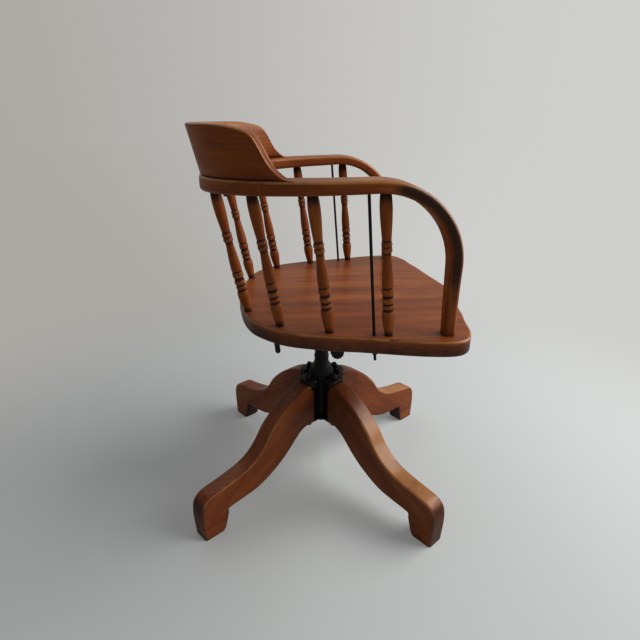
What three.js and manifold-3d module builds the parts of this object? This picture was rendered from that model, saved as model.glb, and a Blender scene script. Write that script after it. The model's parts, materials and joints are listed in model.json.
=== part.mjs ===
// A bankers swivel chair: a flat wooden seat with bent arms, turned spindles and a raised crest,
// on an iron tilt and screw mechanism over four sawn wooden legs.
// Millimetres, +Z up. The origin is on the floor under the swivel axis. The chair faces -Y,
// so the sitter's right is on the -X side.

import * as THREE from "three";
import { mergeVertices } from "three/addons/utils/BufferGeometryUtils.js";
import Module from "manifold-3d";

const wasm = await Module();
wasm.setup();

// Fits shared by all pieces
const fitGap = 0.3;
const cutOverrun = 5;
const weldDistance = 1e-4;
const fullTurn = Math.PI * 2;
const quarterTurn = Math.PI / 2;
const degree = Math.PI / 180;

// Seat board
const seatTop = 440;
const seatThickness = 28;
const seatHalfWidth = 269.5;
const seatFrontReach = 267;
const seatRearReach = 169;
const seatEdgeRadius = 7;
// Half outline from the middle of the back to the middle of the front:
// share of the half width, then share of the rear reach or, where negative, of the front reach.
const seatOutlineShares = [
  [0, 1], [0.156, 0.979], [0.319, 0.941], [0.445, 0.893], [0.553, 0.822], [0.631, 0.728],
  [0.705, 0.609], [0.75, 0.515], [0.787, 0.396], [0.816, 0.266], [0.85, 0.101], [0.872, -0.045],
  [0.894, -0.157], [0.928, -0.296], [0.954, -0.401], [0.976, -0.494], [0.994, -0.607], [1, -0.693],
  [0.987, -0.764], [0.95, -0.813], [0.891, -0.846], [0.809, -0.873], [0.683, -0.891], [0.557, -0.918],
  [0.427, -0.936], [0.289, -0.957], [0.13, -0.985], [0, -1],
];

// Arms, each bent from one piece that is also the front post
const armHeight = 241;
const postInset = 35;
const armPostX = seatHalfWidth - postInset;
const armPostY = -185;
const armBendRadius = 125;
const postThickness = 17.5;
const postWidth = 26;
const postWidthAtBend = 35;
const armWidth = 58;
const armThickness = 19;
const armCornerRadius = 6.5;
const postTenonWidth = 16;
const postTenonThickness = 10;
const postTenonDepth = 18;

// Rail behind the arms, which the spindles meet
const rearOverhang = 27.5;
const rearReach = seatRearReach + rearOverhang;
const rearRailWidth = 53;
const rearRailThickness = 27;
const rearRailDrop = 7.5;
const dropPowerShare = 1.2;
// Plan of the rail's middle line from the arm's bend to the middle of the back:
// share of the post's sideways place, then share of the rear reach.
const railPlanShares = [
  [0.987, -0.0865], [0.951, 0.188], [0.878, 0.4326], [0.776, 0.649], [0.64, 0.8244], [0.473, 0.939],
  [0.247, 0.985], [0, 1],
];
// Place of the butt joint between an arm and the back rail, as a share of the half rail's run
const armJointShare = 0.41;
const dowelRadius = 4;
const dowelLength = 28;

// Crest board on the rail
const crestThickness = 21;
const crestSetIn = 3;
const crestHeight = 72.5;
const crestLeanShare = 0.235;
const crestCornerRadius = 8;
const crestToe = 1.6;
// The left end of the crest runs this much further forward than the right one
const crestLeftForward = 6;
// Rising end of the crest: share of the rear reach at the outer face, then share of the full height
const crestEndShares = [
  [0.365, 0], [0.435, 0.03], [0.474, 0.14], [0.492, 0.26], [0.51, 0.43], [0.525, 0.615],
  [0.551, 0.755], [0.575, 0.82], [0.621, 0.87], [0.69, 0.915], [0.809, 0.965], [1.05, 1],
];
const crestScrewRadius = 2.5;
const crestScrewHeadRadius = 5;
const crestScrewHeadHeight = 3;
const crestScrewBite = 26;
const crestScrewShares = [0.6, 0.86];

// Turned spindles: foot and head on the seat's top and under the rail
const spindleRadius = 9.8;
const spindleFootTenon = 16;
const spindleHeadTenon = 10;
// Profile: share of the length from the head down, then share of the largest radius
const spindleProfileShares = [
  [0, 0.77], [0.08, 0.89], [0.15, 0.88], [0.26, 0.78], [0.325, 0.67], [0.34, 0.68], [0.358, 0.83],
  [0.378, 0.71], [0.396, 0.8], [0.42, 0.64], [0.5, 0.83], [0.59, 0.93], [0.655, 0.76], [0.675, 0.92],
  [0.715, 0.92], [0.742, 0.7], [0.766, 0.95], [0.79, 0.74], [0.812, 0.86], [0.832, 0.72],
  [0.872, 0.98], [0.93, 0.8], [0.97, 0.64], [1, 0.61],
];
// Place of each spindle on one side. The foot's are shares of the seat's half width and rear reach,
// the head's of the post's sideways place and the rail's rear reach. A rearward share below zero
// is one of the post's forward place.
const spindlePlaceShares = [
  { name: "rear", foot: [0.3748, 0.8728], head: [0.4819, 0.9669] },
  { name: "rear_side", foot: [0.6519, 0.5296], head: [0.7846, 0.6489] },
  { name: "middle", foot: [0.7829, 0.0473], head: [0.9552, 0.1883] },
  { name: "front_side", foot: [0.859, -0.4757], head: [0.9957, -0.3784] },
];

// Iron tie rods between the arm and the seat
const rodRadius = 2.2;
// The same kind of shares as for a spindle
const rodPlaceShares = { foot: [0.8523, -0.3459], head: [0.9893, -0.2459] };
const rodTail = 19;
const rodBite = 9;
const rodNutRadius = 5.5;
const rodNutHeight = 5;
const rodWasherRadius = 7.5;
const rodWasherThickness = 1.6;

// Legs, sawn from boards on edge
const legRoot = 31;
const legReach = 331;
const legThickness = 38;
const legEdge = 3;
const legChamfer = 9;
const legTurn = 37.7 * degree;
const legCount = 4;
// Side outline of a leg: share of the run from root to reach, then share of the height
const legOutlineShares = [
  [0.09, 1], [0.163, 0.971], [0.263, 0.9], [0.333, 0.833], [0.417, 0.733], [0.487, 0.6125],
  [0.557, 0.529], [0.64, 0.475], [0.73, 0.446], [0.813, 0.425], [0.897, 0.408], [0.947, 0.3875],
  [0.987, 0.333], [1, 0.2375], [0.997, 0.125], [0.99, 0],
];
const legUndersideShares = [
  [0.843, 0], [0.827, 0.025], [0.807, 0.104], [0.797, 0.158], [0.797, 0.185], [0.78, 0.198],
  [0.723, 0.206], [0.637, 0.217], [0.55, 0.235], [0.457, 0.281], [0.363, 0.348], [0.277, 0.429],
  [0.213, 0.508], [0.163, 0.5625], [0.122, 0.59], [0.08, 0.604],
];
const legRootShare = 0.604;

// Hub casting and the plate that draws the legs together
const screwRadius = 11;
const hubTubeRadius = 14;
const hubTubeTail = 13;
const hubPlateDrop = 11;
const hubPlateThickness = 5.5;
const hubPlateRadius = 21;
const hubBossRadius = 19;
const hubBossHeight = 8.5;
const hubWall = 2.7;
const hubArmHalfWidth = 11;
const hubRibHalfWidth = 5;
const lugThickness = 8.7;
const lugHalfWidth = 21.5;
const lugReach = 53;
const lugCorner = 11;
const lugFlangeDepth = 12;
const legBoltPlace = 40;
const legBoltRadius = 4;
const legBoltHeadRadius = 6.5;
const legBoltHeadHeight = 11;
const legBoltTail = 2;
const legNutRadius = 7.8;
const legNutHeight = 6;
const footPlateThickness = 6;
const footPlateHalfWidth = 12;
const footPlateReach = 51;
const footPlateWaist = 21;
const footPlateCorner = 3;

// Thrust washer keyed to the screw, and the hand wheel that rides on it
const washerThickness = 4;
const washerRadius = 20;
const keyWidth = 5;
const keyDepth = 2.5;
const wheelRadius = 26.6;
const wheelFluteDepth = 1.5;
const wheelFlutes = 24;
const wheelSkirtHeight = 21.5;
const wheelSkirtClearance = 1;
const wheelCupClearance = 1.5;
const wheelBellHeight = 30;
const wheelNeckRadius = 15.5;
// Bell above the skirt: share of the way from neck radius to wheel radius, share of the bell's height
const wheelBellShares = [[0.96, 0], [0.83, 0.17], [0.57, 0.37], [0.23, 0.6], [0, 0.8], [0, 1]];
// The screw ends this far above the lower end of the hub's tube
const screwRise = 2;
const keywayRun = 151;

// Tilt head on top of the screw
const headCollarRadius = 16;
const headHeight = 46.5;
const headRise = 6.8;
const headRoof = 3.7;
const pivotDrop = 85;
const pivotY = -26.5;
const pivotPinRadius = 6;
const headBarrelRadius = 13;
const headBarrelHalfLength = 44;
const headWebHalfWidth = 13;
const headWebDrop = 22;
const tiltArmHalfWidth = 16;
const tiltArmThickness = 9;
const tiltArmReach = 123;
const tiltArmDrop = 63;
const tiltArmGussetRun = 62;
const tiltArmGussetDrop = 40;
const headPinRadius = 2.5;
const headPinDrop = 24;
const headPinProud = 1.5;

// Seat iron: two rails under the seat, two cross bars and two ears down to the pivot
const ironRailX = 54;
const ironRailWidth = 24;
const ironRailThickness = 12;
const ironFront = -98;
const ironRear = 140;
const ironEarInset = 4;
const ironEarThickness = 8;
const ironEarTopHalfWidth = 36;
const ironEarEndRadius = 14;
const ironBridgeHalfWidth = 21;
const ironBridgeThickness = 8;
const ironBridgeDrop = 3;
const ironCrossHalfWidth = 11;
const ironCrossY = -72;
const ironScrewRadius = 2.4;
const ironScrewHeadRadius = 5;
const ironScrewHeadHeight = 3;
const ironScrewBite = 15;
const ironScrewShares = [0.06, 0.94];
const capNutRadius = 13.5;
const capNutFluteDepth = 1;
const capNutFlutes = 12;
const capNutLength = 12;
const capNutWall = 3.7;
const capNutEdge = 1.6;
const pivotWasherRadius = 10;

// Leaning tilt bolt with its spring
const tiltBoltRadius = 5.9;
const tiltBoltY = 94;
const tiltBoltDrop = 112;
const tiltBoltLean = 6.6 * degree;
const tiltBoltTravel = 11.2;
const tiltNutRadius = 10.5;
const tiltNutHeight = 7;
const springWire = 3.6;
const springRadius = 13;
const springTurns = 4;
const springLeastGap = 0.4;
const springCupRadius = 16.5;
const springCupThickness = 3;

// Counts of facets
const seatCurveSteps = 1;
const edgeSteps = 2;
const legCurveSteps = 1;
const roundSides = 24;
const smallSides = 12;
const boltSides = 8;
const spindleSides = 8;
const hexSides = 6;
const bendSteps = 9;
const postSteps = 3;
const armRailSteps = 6;
const backRailSteps = 18;
const crestBackSteps = 9;
const cornerSteps = 2;
const springSteps = 8;
const springSides = 5;
const springBendSteps = 2;
const earEndSteps = 8;
const undersideSteps = 60;
const bisectionRounds = 30;

// Derived heights
const seatUnderside = seatTop - seatThickness;
const armTop = seatTop + armHeight + armThickness / 2;
const crestTop = armTop + crestHeight;
const pivotZ = seatUnderside - pivotDrop;
const headTop = pivotZ + headRise;
const headBottom = headTop - headHeight;
const wheelTop = headBottom - fitGap;
const wheelSkirtTop = wheelTop - wheelBellHeight;
const wheelSkirtBottom = wheelSkirtTop - wheelSkirtHeight;
const hubPlateTop = wheelSkirtBottom - wheelSkirtClearance;
const hubPlateBottom = hubPlateTop - hubPlateThickness;
const legTop = hubPlateBottom + hubPlateDrop;
const legRootBottom = legTop * legRootShare;
const lugBottom = legTop + fitGap;
const lugTop = lugBottom + lugThickness;
const hubBossTop = hubPlateTop + hubBossHeight;
const hubWallOuter = legRoot - fitGap;
const hubWallInner = hubWallOuter - hubWall;
const footPlateTop = legRootBottom - fitGap;
const footPlateBottom = footPlateTop - footPlateThickness;
const hubTubeBottom = legRootBottom - hubTubeTail;
const washerBottom = hubBossTop + fitGap;
const washerTop = washerBottom + washerThickness;
const screwTop = headTop - headRoof - fitGap;
const screwBottom = hubTubeBottom + screwRise;
const tiltArmTop = seatUnderside - tiltArmDrop;
const tiltArmBottom = tiltArmTop - tiltArmThickness;
const ironTop = seatUnderside - fitGap;
const ironBottom = ironTop - ironRailThickness;
const ironBridgeTop = seatUnderside - ironBridgeDrop;
const ironBridgeBottom = ironBridgeTop - ironBridgeThickness;
const tiltBoltZ = seatUnderside - tiltBoltDrop;

// Finishes
const wood = { color: 0x5e2a12, roughness: 0.38, metalness: 0 };
const legWood = { color: 0x57270f, roughness: 0.45, metalness: 0 };
const blackIron = { color: 0x16181b, roughness: 0.5, metalness: 0.7 };
const steel = { color: 0x3a3b3d, roughness: 0.42, metalness: 0.9 };

/** Welds a closed geometry, drops collapsed faces and turns the faces outwards. */
function closed(geometry) {
  const plain = geometry.clone();
  for (const name of Object.keys(plain.attributes)) {
    if (name !== "position") plain.deleteAttribute(name);
  }
  const welded = mergeVertices(plain, weldDistance);
  const place = welded.attributes.position;
  const faces = [];
  const a = new THREE.Vector3();
  const b = new THREE.Vector3();
  const c = new THREE.Vector3();
  let volume = 0;
  for (let at = 0; at < welded.index.count; at += 3) {
    const [i, j, k] = [0, 1, 2].map((step) => welded.index.getX(at + step));
    if (i === j || j === k || k === i) continue;
    a.fromBufferAttribute(place, i);
    b.fromBufferAttribute(place, j);
    c.fromBufferAttribute(place, k);
    volume += a.dot(b.cross(c));
    faces.push([i, j, k]);
  }
  const order = volume < 0 ? faces.map(([i, j, k]) => [i, k, j]) : faces;
  welded.setIndex(order.flat());
  return welded;
}

/** Makes a solid that can be joined and cut from a closed geometry. */
function solidOf(geometry) {
  const shell = closed(geometry);
  return new wasm.Manifold(new wasm.Mesh({
    numProp: 3,
    vertProperties: new Float32Array(shell.attributes.position.array),
    triVerts: new Uint32Array(shell.index.array),
  }));
}

/** Gives a joined or cut solid back as a geometry. */
function geometryOf(solid) {
  const mesh = solid.getMesh();
  const geometry = new THREE.BufferGeometry();
  geometry.setAttribute("position", new THREE.BufferAttribute(mesh.vertProperties, mesh.numProp));
  geometry.setIndex(new THREE.BufferAttribute(mesh.triVerts, 1));
  geometry.computeVertexNormals();
  return geometry;
}

/** Joins geometries, then cuts others away. */
function carved(joined, cuts = []) {
  const [first, ...rest] = joined.map(solidOf);
  const whole = rest.reduce((sum, next) => sum.add(next), first);
  return geometryOf(cuts.map(solidOf).reduce((left, cut) => left.subtract(cut), whole));
}

/** Skins rings of equal point counts, with a flat cap at each end. */
function loft(rings) {
  const count = rings[0].length;
  const positions = rings.flat().flatMap((point) => [point.x, point.y, point.z]);
  const index = [];
  for (let ring = 0; ring + 1 < rings.length; ring += 1) {
    for (let side = 0; side < count; side += 1) {
      const next = (side + 1) % count;
      const low = ring * count;
      const high = low + count;
      index.push(low + side, low + next, high + next, low + side, high + next, high + side);
    }
  }
  for (const [ring, turned] of [[rings[0], true], [rings[rings.length - 1], false]]) {
    const start = turned ? 0 : (rings.length - 1) * count;
    const middle = positions.length / 3;
    const centre = ring.reduce((sum, point) => sum.add(point), new THREE.Vector3());
    centre.divideScalar(count);
    positions.push(centre.x, centre.y, centre.z);
    for (let side = 0; side < count; side += 1) {
      const next = (side + 1) % count;
      if (turned) index.push(middle, start + next, start + side);
      else index.push(middle, start + side, start + next);
    }
  }
  const geometry = new THREE.BufferGeometry();
  geometry.setAttribute("position", new THREE.Float32BufferAttribute(positions, 3));
  geometry.setIndex(index);
  return closed(geometry);
}

/** Turns a profile of [radius, height] points round the vertical axis. */
function turned(profile, sides) {
  const points = profile.map(([radius, height]) => new THREE.Vector2(radius, height));
  return closed(new THREE.LatheGeometry(points, sides).rotateX(quarterTurn));
}

/** A plain upright cylinder between two heights. */
function post(radius, bottom, top, sides) {
  return turned([[0, bottom], [radius, bottom], [radius, top], [0, top]], sides);
}

/** A ring between two radii and two heights. */
function ring(inner, outer, bottom, top, sides) {
  return turned([[inner, bottom], [outer, bottom], [outer, top], [inner, top], [inner, bottom]], sides);
}

/** A block between two corners. */
function block(low, high) {
  const size = high.map((value, axis) => value - low[axis]);
  const middle = high.map((value, axis) => (value + low[axis]) / 2);
  return new THREE.BoxGeometry(...size).translate(...middle);
}

/** Radius of a faceted bore that clears a round of the given radius. */
function boreFor(radius, sides) {
  return (radius + fitGap) / Math.cos(Math.PI / sides);
}

/** A slab of a flat outline between two heights, its edges rounded. */
function slab(shape, bottom, top, edge, steps, curveSteps) {
  const geometry = new THREE.ExtrudeGeometry(shape, {
    depth: top - bottom - edge * 2,
    curveSegments: curveSteps,
    bevelEnabled: edge > 0,
    bevelThickness: edge,
    bevelSize: edge,
    bevelOffset: -edge,
    bevelSegments: steps,
  });
  return closed(geometry.translate(0, 0, bottom + edge));
}

/** A closed flat outline through points of [x, y]. */
function outlineOf(points) {
  return new THREE.Shape(points.map(([x, y]) => new THREE.Vector2(x, y)));
}

/** A fluted round outline: flutes cut in the rim at even steps. */
function flutedOutline(radius, depth, flutes) {
  const points = [];
  for (let step = 0; step < flutes * 2; step += 1) {
    const reach = step % 2 === 0 ? radius : radius - depth;
    const angle = (step * Math.PI) / flutes;
    points.push([reach * Math.cos(angle), reach * Math.sin(angle)]);
  }
  return outlineOf(points);
}

/** Places a geometry built along +Z so that it runs from one point towards another. */
function placeAlong(from, to) {
  const turn = new THREE.Quaternion();
  const direction = to.clone().sub(from).normalize();
  turn.setFromUnitVectors(new THREE.Vector3(0, 0, 1), direction);
  return new THREE.Matrix4().compose(from, turn, new THREE.Vector3(1, 1, 1));
}

/** Makes a named mesh with its own material. */
function piece(name, geometry, finish) {
  const mesh = new THREE.Mesh(geometry, new THREE.MeshStandardMaterial(finish));
  mesh.name = name;
  return mesh;
}

/** Linear reading of a table of [place, value] rows. */
function reading(table, place) {
  const row = table.findIndex(([at]) => at >= place);
  if (row < 0) return table[table.length - 1][1];
  if (row === 0) return table[0][1];
  const [lowAt, low] = table[row - 1];
  const [highAt, high] = table[row];
  return low + ((high - low) * (place - lowAt)) / (highAt - lowAt);
}

/** Points of a rounded rectangle in a section plane, half width and half thickness given. */
function roundedSection(centre, across, up, halfWidth, halfThickness, corner) {
  const radius = Math.min(corner, halfWidth, halfThickness);
  const points = [];
  for (const [signX, signY, start] of [[1, 1, 0], [-1, 1, 1], [-1, -1, 2], [1, -1, 3]]) {
    for (let step = 0; step <= cornerSteps; step += 1) {
      const angle = (start + step / cornerSteps) * quarterTurn;
      const x = signX * (halfWidth - radius) + radius * Math.cos(angle);
      const y = signY * (halfThickness - radius) + radius * Math.sin(angle);
      points.push(centre.clone().addScaledVector(across, x).addScaledVector(up, y));
    }
  }
  return points;
}

// The run of the rail round the chair

const railHalf = railPlanShares.map(([x, y]) => [x * armPostX, y * rearReach]);
const railStart = [armPostX, armPostY + armBendRadius];
const railPoints = [railStart, ...railHalf];
const railCurve = new THREE.CatmullRomCurve3(
  [...railPoints, ...railPoints.slice(0, -1).reverse().map(([x, y]) => [-x, y])]
    .map(([x, y]) => new THREE.Vector3(x, y, 0)),
  false,
  "centripetal",
);

/** Place, outward direction and section of the rail at a share of its left half's run, up to 2. */
function railAt(share) {
  const centre = railCurve.getPoint(share / 2);
  const along = railCurve.getTangent(share / 2);
  const outward = new THREE.Vector3(along.y, -along.x, 0).normalize();
  if (share === 1) outward.set(0, 1, 0);
  const back = 1 - Math.abs(1 - share);
  const top = armTop - rearRailDrop * Math.sin(back * quarterTurn) ** dropPowerShare;
  const thickness = armThickness + (rearRailThickness - armThickness) * back;
  const width = armWidth + (rearRailWidth - armWidth) * back;
  return { centre, along, outward, top, thickness, width };
}

/** Ring of the rail's section at a share of its run, its points going round from outward to up. */
function railRing(share, up) {
  const at = railAt(share);
  const middle = at.centre.clone().setZ(at.top - at.thickness / 2);
  return roundedSection(middle, at.outward, up, at.width / 2, at.thickness / 2, armCornerRadius);
}

/** Places the same distance apart between two shares. */
function steps(from, to, count) {
  return Array.from({ length: count + 1 }, (_, step) => from + ((to - from) * step) / count);
}

// Half a gap on either side of the butt joint keeps the rail and the arm apart
const railRun = railCurve.getLength() / 2;
const jointHalfGapShare = fitGap / railRun;

const spindleHeadRadius = spindleRadius * spindleProfileShares[0][1];
const spindleFootRadius = spindleRadius * spindleProfileShares[spindleProfileShares.length - 1][1];

/** A turned spindle along +Z, from its tenon in the seat to its tenon in the rail. */
function spindleGeometry(length) {
  const profile = spindleProfileShares.map(([down, radius]) => [
    radius * spindleRadius,
    length * (1 - down),
  ]).reverse();
  return turned([
    [0, -spindleFootTenon],
    [spindleFootRadius, -spindleFootTenon],
    ...profile,
    [spindleHeadRadius, length + spindleHeadTenon],
    [0, length + spindleHeadTenon],
  ], spindleSides);
}

/** Height of the rail's underside straight above a place in plan. */
function railUnderside(x, y) {
  const shares = steps(0, 1, undersideSteps);
  const [best] = shares
    .map((share) => ({ share, away: railAt(share).centre.distanceTo(new THREE.Vector3(Math.abs(x), y, 0)) }))
    .sort((one, other) => one.away - other.away);
  const at = railAt(best.share);
  return at.top - at.thickness;
}

/** A place in plan: shares of a sideways place and of a rear reach or the post's forward place. */
function planPlace([sideShare, rearShare], sideways, rear) {
  return [sideShare * sideways, rearShare < 0 ? -rearShare * armPostY : rearShare * rear];
}

/** Ends of a straight piece between the seat's top and the rail. */
function standing(side, shares) {
  const foot = planPlace(shares.foot, seatHalfWidth, seatRearReach);
  const head = planPlace(shares.head, armPostX, rearReach);
  const from = new THREE.Vector3(side * foot[0], foot[1], seatTop + fitGap);
  const to = new THREE.Vector3(side * head[0], head[1], railUnderside(head[0], head[1]) - fitGap);
  return { from, to, length: from.distanceTo(to) };
}

const sides = [
  { name: "left", sign: 1 },
  { name: "right", sign: -1 },
];

/** Lean of a tie rod from upright. */
function rodLean() {
  const line = standing(1, rodPlaceShares);
  return Math.acos((line.to.z - line.from.z) / line.length);
}

const rodWasherTop = -seatThickness - fitGap * 2 - rodWasherRadius * Math.tan(rodLean());
const rodNutTop = rodWasherTop - rodWasherThickness - fitGap;
const seatCuts = [];
const railCuts = [];
const spindles = [];
const rodPieces = [];
for (const side of sides) {
  for (const place of spindlePlaceShares) {
    const line = standing(side.sign, place);
    const matrix = placeAlong(line.from, line.to);
    const mesh = piece(`spindle_${place.name}_${side.name}`, spindleGeometry(line.length), wood);
    mesh.applyMatrix4(matrix);
    spindles.push(mesh);
    const footBore = boreFor(spindleFootRadius, spindleSides);
    const headBore = boreFor(spindleHeadRadius, spindleSides);
    const foot = post(footBore, -spindleFootTenon - fitGap, cutOverrun, spindleSides);
    seatCuts.push(foot.applyMatrix4(matrix));
    const top = line.length + spindleHeadTenon + fitGap;
    railCuts.push(post(headBore, line.length - cutOverrun, top, spindleSides).applyMatrix4(matrix));
  }
  const line = standing(side.sign, rodPlaceShares);
  const matrix = placeAlong(line.from, line.to);
  const tail = seatThickness + rodTail;
  const bore = boreFor(rodRadius, smallSides);
  const hexBore = boreFor(rodRadius, hexSides);
  const washerLow = rodWasherTop - rodWasherThickness;
  const onRod = [
    ["tie_rod", post(rodRadius, -tail, line.length + rodBite, smallSides)],
    ["rod_washer", ring(bore, rodWasherRadius, washerLow, rodWasherTop, smallSides)],
    ["rod_nut", ring(hexBore, rodNutRadius, rodNutTop - rodNutHeight, rodNutTop, hexSides)],
  ];
  for (const [name, geometry] of onRod) {
    const mesh = piece(`${name}_${side.name}`, geometry, blackIron);
    mesh.applyMatrix4(matrix);
    rodPieces.push(mesh);
  }
  seatCuts.push(post(bore, -tail, cutOverrun, smallSides).applyMatrix4(matrix));
  const top = line.length + rodBite + fitGap;
  railCuts.push(post(bore, line.length - cutOverrun, top, smallSides).applyMatrix4(matrix));
}

// Dowels that join the arms to the back rail
const dowels = [];
for (const { name, sign } of sides) {
  const at = railAt(sign > 0 ? armJointShare : 2 - armJointShare);
  const middle = at.centre.clone().setZ(at.top - at.thickness / 2);
  const from = middle.clone().addScaledVector(at.along, -dowelLength / 2);
  const matrix = placeAlong(from, middle);
  const dowel = piece(`rail_dowel_${name}`, post(dowelRadius, 0, dowelLength, smallSides), wood);
  dowel.applyMatrix4(matrix);
  dowels.push(dowel);
  const bore = boreFor(dowelRadius, smallSides);
  railCuts.push(post(bore, -fitGap, dowelLength + fitGap, smallSides).applyMatrix4(matrix));
}

// Screws through the rail into the crest, each upright in the crest's thickness
const crestOffset = (at) => at.width / 2 - crestSetIn - crestThickness / 2;
const crestScrews = [];
const crestCuts = [];
for (const [row, half] of crestScrewShares.entries()) {
  for (const { name, sign } of sides) {
    const at = railAt(sign > 0 ? half : 2 - half);
    const place = at.centre.clone().addScaledVector(at.outward, crestOffset(at));
    const low = at.top - at.thickness;
    const head = low - crestScrewHeadHeight - fitGap;
    const top = at.top + crestScrewBite;
    const screw = piece(`crest_screw_${row + 1}_${name}`, turned([
      [0, head],
      [crestScrewHeadRadius, head],
      [crestScrewHeadRadius, low - fitGap],
      [crestScrewRadius, low - fitGap],
      [crestScrewRadius, top],
      [0, top],
    ], boltSides), steel);
    screw.position.set(place.x, place.y, 0);
    crestScrews.push(screw);
    const bore = boreFor(crestScrewRadius, boltSides);
    const cut = post(bore, low - cutOverrun, top + fitGap, boltSides).translate(place.x, place.y, 0);
    railCuts.push(cut);
    crestCuts.push(cut);
  }
}

// Seat board

const seatHalf = seatOutlineShares.map(([x, y]) => [
  x * seatHalfWidth,
  y > 0 ? y * seatRearReach : y * seatFrontReach,
]);
const seatLoop = [...seatHalf, ...seatHalf.slice(1, -1).reverse().map(([x, y]) => [-x, y])]
  .map(([x, y]) => new THREE.Vector2(x, y));
const seatShape = new THREE.Shape();
seatShape.moveTo(seatLoop[0].x, seatLoop[0].y);
seatShape.splineThru([...seatLoop.slice(1), seatLoop[0]]);

// Seat iron under the seat, and its screws
const ironScrews = [];
const ironScrewCuts = [];
const ironScrewY = (share) => ironFront + (ironRear - ironFront) * share;
for (const { name, sign } of sides) {
  for (const [row, share] of ironScrewShares.entries()) {
    const x = sign * ironRailX;
    const y = ironScrewY(share);
    const top = seatUnderside + ironScrewBite;
    const headTopZ = ironBottom - fitGap;
    const screw = piece(`seat_iron_screw_${row + 1}_${name}`, turned([
      [0, headTopZ - ironScrewHeadHeight],
      [ironScrewHeadRadius, headTopZ - ironScrewHeadHeight],
      [ironScrewHeadRadius, headTopZ],
      [ironScrewRadius, headTopZ],
      [ironScrewRadius, top],
      [0, top],
    ], boltSides), steel);
    screw.position.set(x, y, 0);
    ironScrews.push(screw);
    const bore = boreFor(ironScrewRadius, boltSides);
    const cut = post(bore, ironBottom - cutOverrun, top + fitGap, boltSides).translate(x, y, 0);
    ironScrewCuts.push(cut);
    seatCuts.push(cut);
  }
}
for (const { sign } of sides) {
  const halfWidth = postTenonWidth / 2 + fitGap;
  const halfThickness = postTenonThickness / 2 + fitGap;
  seatCuts.push(block(
    [sign * armPostX - halfWidth, armPostY - halfThickness, seatTop - postTenonDepth - fitGap],
    [sign * armPostX + halfWidth, armPostY + halfThickness, seatTop + cutOverrun],
  ));
}
const seatBody = slab(seatShape, seatUnderside, seatTop, seatEdgeRadius, edgeSteps, seatCurveSteps);
const seatBoard = piece("seat_board", carved([seatBody], seatCuts), wood);

// Arms

/** Rings of the left arm from the foot of its post, round the bend and along the rail. */
function armRings() {
  const across = new THREE.Vector3(1, 0, 0);
  const bendZ = armTop - armThickness / 2 - armBendRadius;
  const rings = [];
  for (const share of steps(0, 1, postSteps).slice(0, -1)) {
    const z = seatTop + fitGap + (bendZ - seatTop - fitGap) * share;
    const width = postWidth + (postWidthAtBend - postWidth) * share ** 2;
    const up = new THREE.Vector3(0, 1, 0);
    const centre = new THREE.Vector3(armPostX, armPostY, z);
    rings.push(roundedSection(centre, across, up, width / 2, postThickness / 2, armCornerRadius));
  }
  for (const share of steps(0, 1, bendSteps)) {
    const angle = share * quarterTurn;
    const up = new THREE.Vector3(0, Math.cos(angle), -Math.sin(angle));
    const centre = new THREE.Vector3(
      armPostX,
      armPostY + armBendRadius * (1 - Math.cos(angle)),
      bendZ + armBendRadius * Math.sin(angle),
    );
    const width = postWidthAtBend + (armWidth - postWidthAtBend) * Math.sin(angle / 2) * Math.SQRT2;
    const thickness = postThickness + (armThickness - postThickness) * share;
    rings.push(roundedSection(centre, across, up, width / 2, thickness / 2, armCornerRadius));
  }
  return rings;
}

/** The left arm, its tenon included, before its sockets are cut. */
function armSolid() {
  const down = new THREE.Vector3(0, 0, -1);
  const runs = steps(0, armJointShare - jointHalfGapShare, armRailSteps).slice(1);
  const tenon = block(
    [armPostX - postTenonWidth / 2, armPostY - postTenonThickness / 2, seatTop - postTenonDepth],
    [armPostX + postTenonWidth / 2, armPostY + postTenonThickness / 2, seatTop + cutOverrun],
  );
  return [loft([...armRings(), ...runs.map((share) => railRing(share, down))]), tenon];
}

const armLeft = piece("arm_left", carved(armSolid(), railCuts), wood);
const armRight = piece(
  "arm_right",
  carved(armSolid().map((part) => part.clone().scale(-1, 1, 1)), railCuts),
  wood,
);

// Back rail
const backRailShares = steps(
  armJointShare + jointHalfGapShare,
  2 - armJointShare - jointHalfGapShare,
  backRailSteps,
);
const upward = new THREE.Vector3(0, 0, 1);
const backRailBody = loft(backRailShares.map((share) => railRing(share, upward)));
const backRail = piece("back_rail", carved([backRailBody], railCuts), wood);

// Crest board

/** Rearward place of the crest's outer face at a share of the rail's run. */
function crestOuterY(share) {
  const at = railAt(share);
  return at.centre.y + at.outward.y * (at.width / 2 - crestSetIn);
}

/** Share of the rail's left half at which the crest's outer face is at a rearward place. */
function shareAtOuterY(place) {
  let low = 0;
  let high = 1;
  for (let round = 0; round < bisectionRounds; round += 1) {
    const middle = (low + high) / 2;
    if (crestOuterY(middle) < place) low = middle;
    else high = middle;
  }
  return (low + high) / 2;
}

const crestFullHeight = crestTop - (armTop - rearRailDrop) - fitGap;

/** Section of the crest at a share of the rail's run. */
function crestRing(share) {
  const at = railAt(share);
  const forward = share < 1 ? crestLeftForward : 0;
  const placeShare = (crestOuterY(share <= 1 ? share : 2 - share) + forward) / rearReach;
  const rise = Math.max(crestToe, crestFullHeight * reading(crestEndShares, placeShare));
  const bottom = at.top + fitGap;
  const top = Math.min(crestTop, bottom + rise);
  const middle = at.centre.clone().addScaledVector(at.outward, crestOffset(at));
  middle.setZ((bottom + top) / 2);
  const up = new THREE.Vector3(0, 0, 1);
  const halfHeight = (top - bottom) / 2;
  const points = roundedSection(middle, at.outward, up, crestThickness / 2, halfHeight, crestCornerRadius);
  for (const point of points) point.y += (point.z - bottom) * crestLeanShare;
  return points;
}

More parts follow.
